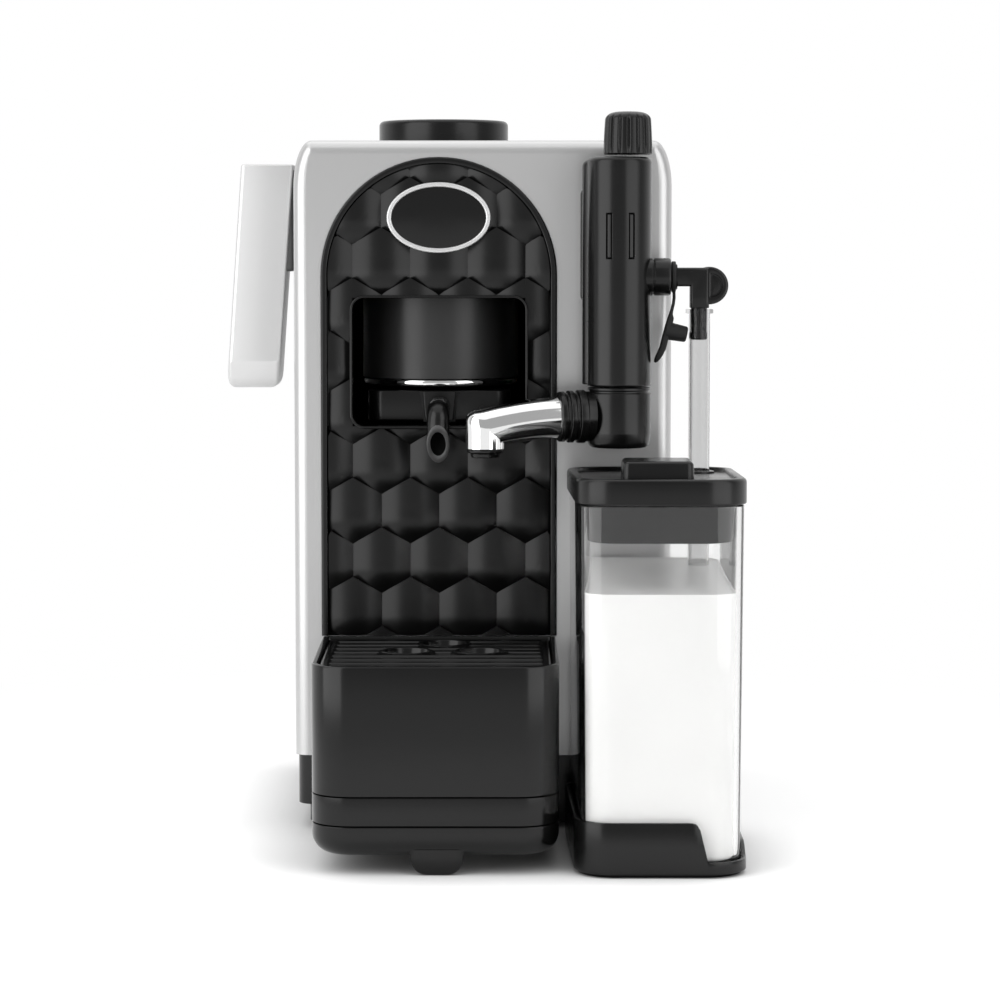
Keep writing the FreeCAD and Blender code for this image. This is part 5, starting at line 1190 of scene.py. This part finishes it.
dress(milkTube(**tubeSet), "hazyPlastic", "milk_unit", "milk_tube", slot="clear_plastic")
elbowGrids = [elbowBar(**elbowSet), elbowDisc(**discSet), elbowBarb(**barbSet)]
tubeElbow = joinGrids("tubeElbow", elbowGrids, sharp=32.0)
dress(tubeElbow, "blackPlastic", "milk_unit", "tube_elbow")
dress(frotherPort(**portSet), "blackPlastic", "machine", "frother_port")
stopperGrids = [stopperRing(**ringSet), stopperStrap(plugSet["y"]), stopperPlug(**plugSet)]
portStopper = joinGrids("portStopper", stopperGrids, sharp=40.0)
dress(portStopper, "rubber", "stopper", "port_stopper", slot="rubber")
print("milk line ready")


# Back and inside: screws of the rear cover, rocker and the near-black sheets beside the pod bay that paint
# its shade

screwSet = dict(head=3.0, stem=1.5, thick=1.8, length=10.0, dome=0.7, cross=0.55, arm=1.9, sink=1.1,
                soft=0.15)


def coverScrews(head, stem, thick, length, dome, cross, arm, sink, soft):
    # stem and head turned about an axis, the domed top lowered inside a cross of two narrow bars
    low, high = (np.array(corner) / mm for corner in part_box("case_screws"))
    radius = np.concatenate([[stem, stem, head, head], np.linspace(head - 0.15, 0.08, 26)])[:, None]
    level = dome * (1 - (radius / head) ** 2)
    level[:4, 0] = -thick - length, -thick, -thick, -0.1
    u, v = radius * np.cos(around(120)), radius * np.sin(around(120))
    wide, narrow = np.maximum(abs(u), abs(v)), np.minimum(abs(u), abs(v))
    inside = np.clip((cross - narrow) / soft + 0.5, 0, 1) * np.clip((arm - wide) / soft + 0.5, 0, 1)
    inside[:4] = 0
    depth = high[1] + level - sink * inside
    grids = [np.stack([x + u, depth, z + v], axis=2) * mm
             for x in (low[0] + head, high[0] - head) for z in (low[2] + head, high[2] - head)]
    return joinGrids("coverScrews", grids)


rockerSet = dict(half=(10.0, 6.5), corner=1.2, back=-4.5, proud=3.5, dish=1.3, edge=0.6, turn=6.0,
                 pivot=(0.497, 0.052))


def rockerKey(half, corner, back, proud, dish, edge, turn, pivot):
    # rounded block with a dished outer face, tilted about the axis that it rocks on
    middle = sum(np.array(end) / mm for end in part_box("power_switch")) / 2
    deep = half[1] - 1.3
    side = roundedLine([(0, back, 0), (0, proud, edge), (deep, proud, 0)], 4)
    face = np.stack([np.linspace(edge, deep, 14)[1:], np.full(13, proud)], axis=1)
    section = np.concatenate([side[:-1], face])
    ring = planRing(half, corner, section[:, 0], 6)
    u, v, out = ring[..., 0], ring[..., 1], section[:, 1, None]
    out = out - dish * (1 - (v / half[1]) ** 2) * (out > 0)
    across, up = compass(math.radians(turn))
    y = middle[1] + pivot[0] + out * across - v * up
    z = middle[2] + pivot[1] + out * up + v * across
    return gridPiece("rockerKey", np.stack([middle[0] + u, y, z], axis=2) * mm)


baySet = dict(left=-57.8, right=20.6, front=6.0, back=24.0, low=158.0, high=232.0, thick=1.2, corner=4.0,
              edge=0.4)


def bayWalls(left, right, front, back, low, high, thick, corner, edge):
    # upright near-black sheets beside the pod bay, painted shade inside it: a rounded rectangle seen from the
    # side, carried through its thickness
    (y, halfY), (z, halfZ) = span(front, back), span(low, high)
    section = roundedLine([(8, 0, 0), (0, 0, edge), (0, thick, edge), (8, thick, 0)], 4)
    ring = planRing((halfY, halfZ), corner, section[:, 0], 8)
    sheets = [place(x + section[:, 1, None], y + ring[..., 0], z + ring[..., 1]) for x in (left, right)]
    return joinGrids("bayWalls", sheets)


# near-black sheets: painted shade inside the pod bay
dress(bayWalls(**baySet), "recessBlack", "machine")
dress(coverScrews(**screwSet), "castAlloy", "machine", "case_screws", slot="steel")
dress(rockerKey(**rockerSet), "lipGrey", "rocker", "power_switch", slot=None)
print("back and bay ready")


# Carried-over solids take the finish named like their slot, or one of their own.

# the steel brew frame takes the near-black matte finish as painted shade inside the machine
ownFinish = dict(honeycomb_panel="panelBlack", tray_box="trayBlack", tray_band="trayBlack",
                 tray_pan="trayBlack", drip_grille="trayBlack", badge_plate="glossBlack",
                 brew_head="headGrey", brew_frame="recessBlack")
for subpart in frame["record"]["subparts"]:
    node = subpart["node"]
    first, *rest = subpart["material_slot"].split("_")
    slotFinish = first + "".join(word.title() for word in rest)  # satin_silver is satinSilver
    for slot in nodes[node].material_slots:
        slot.material = finishes[ownFinish.get(node, slotFinish)]
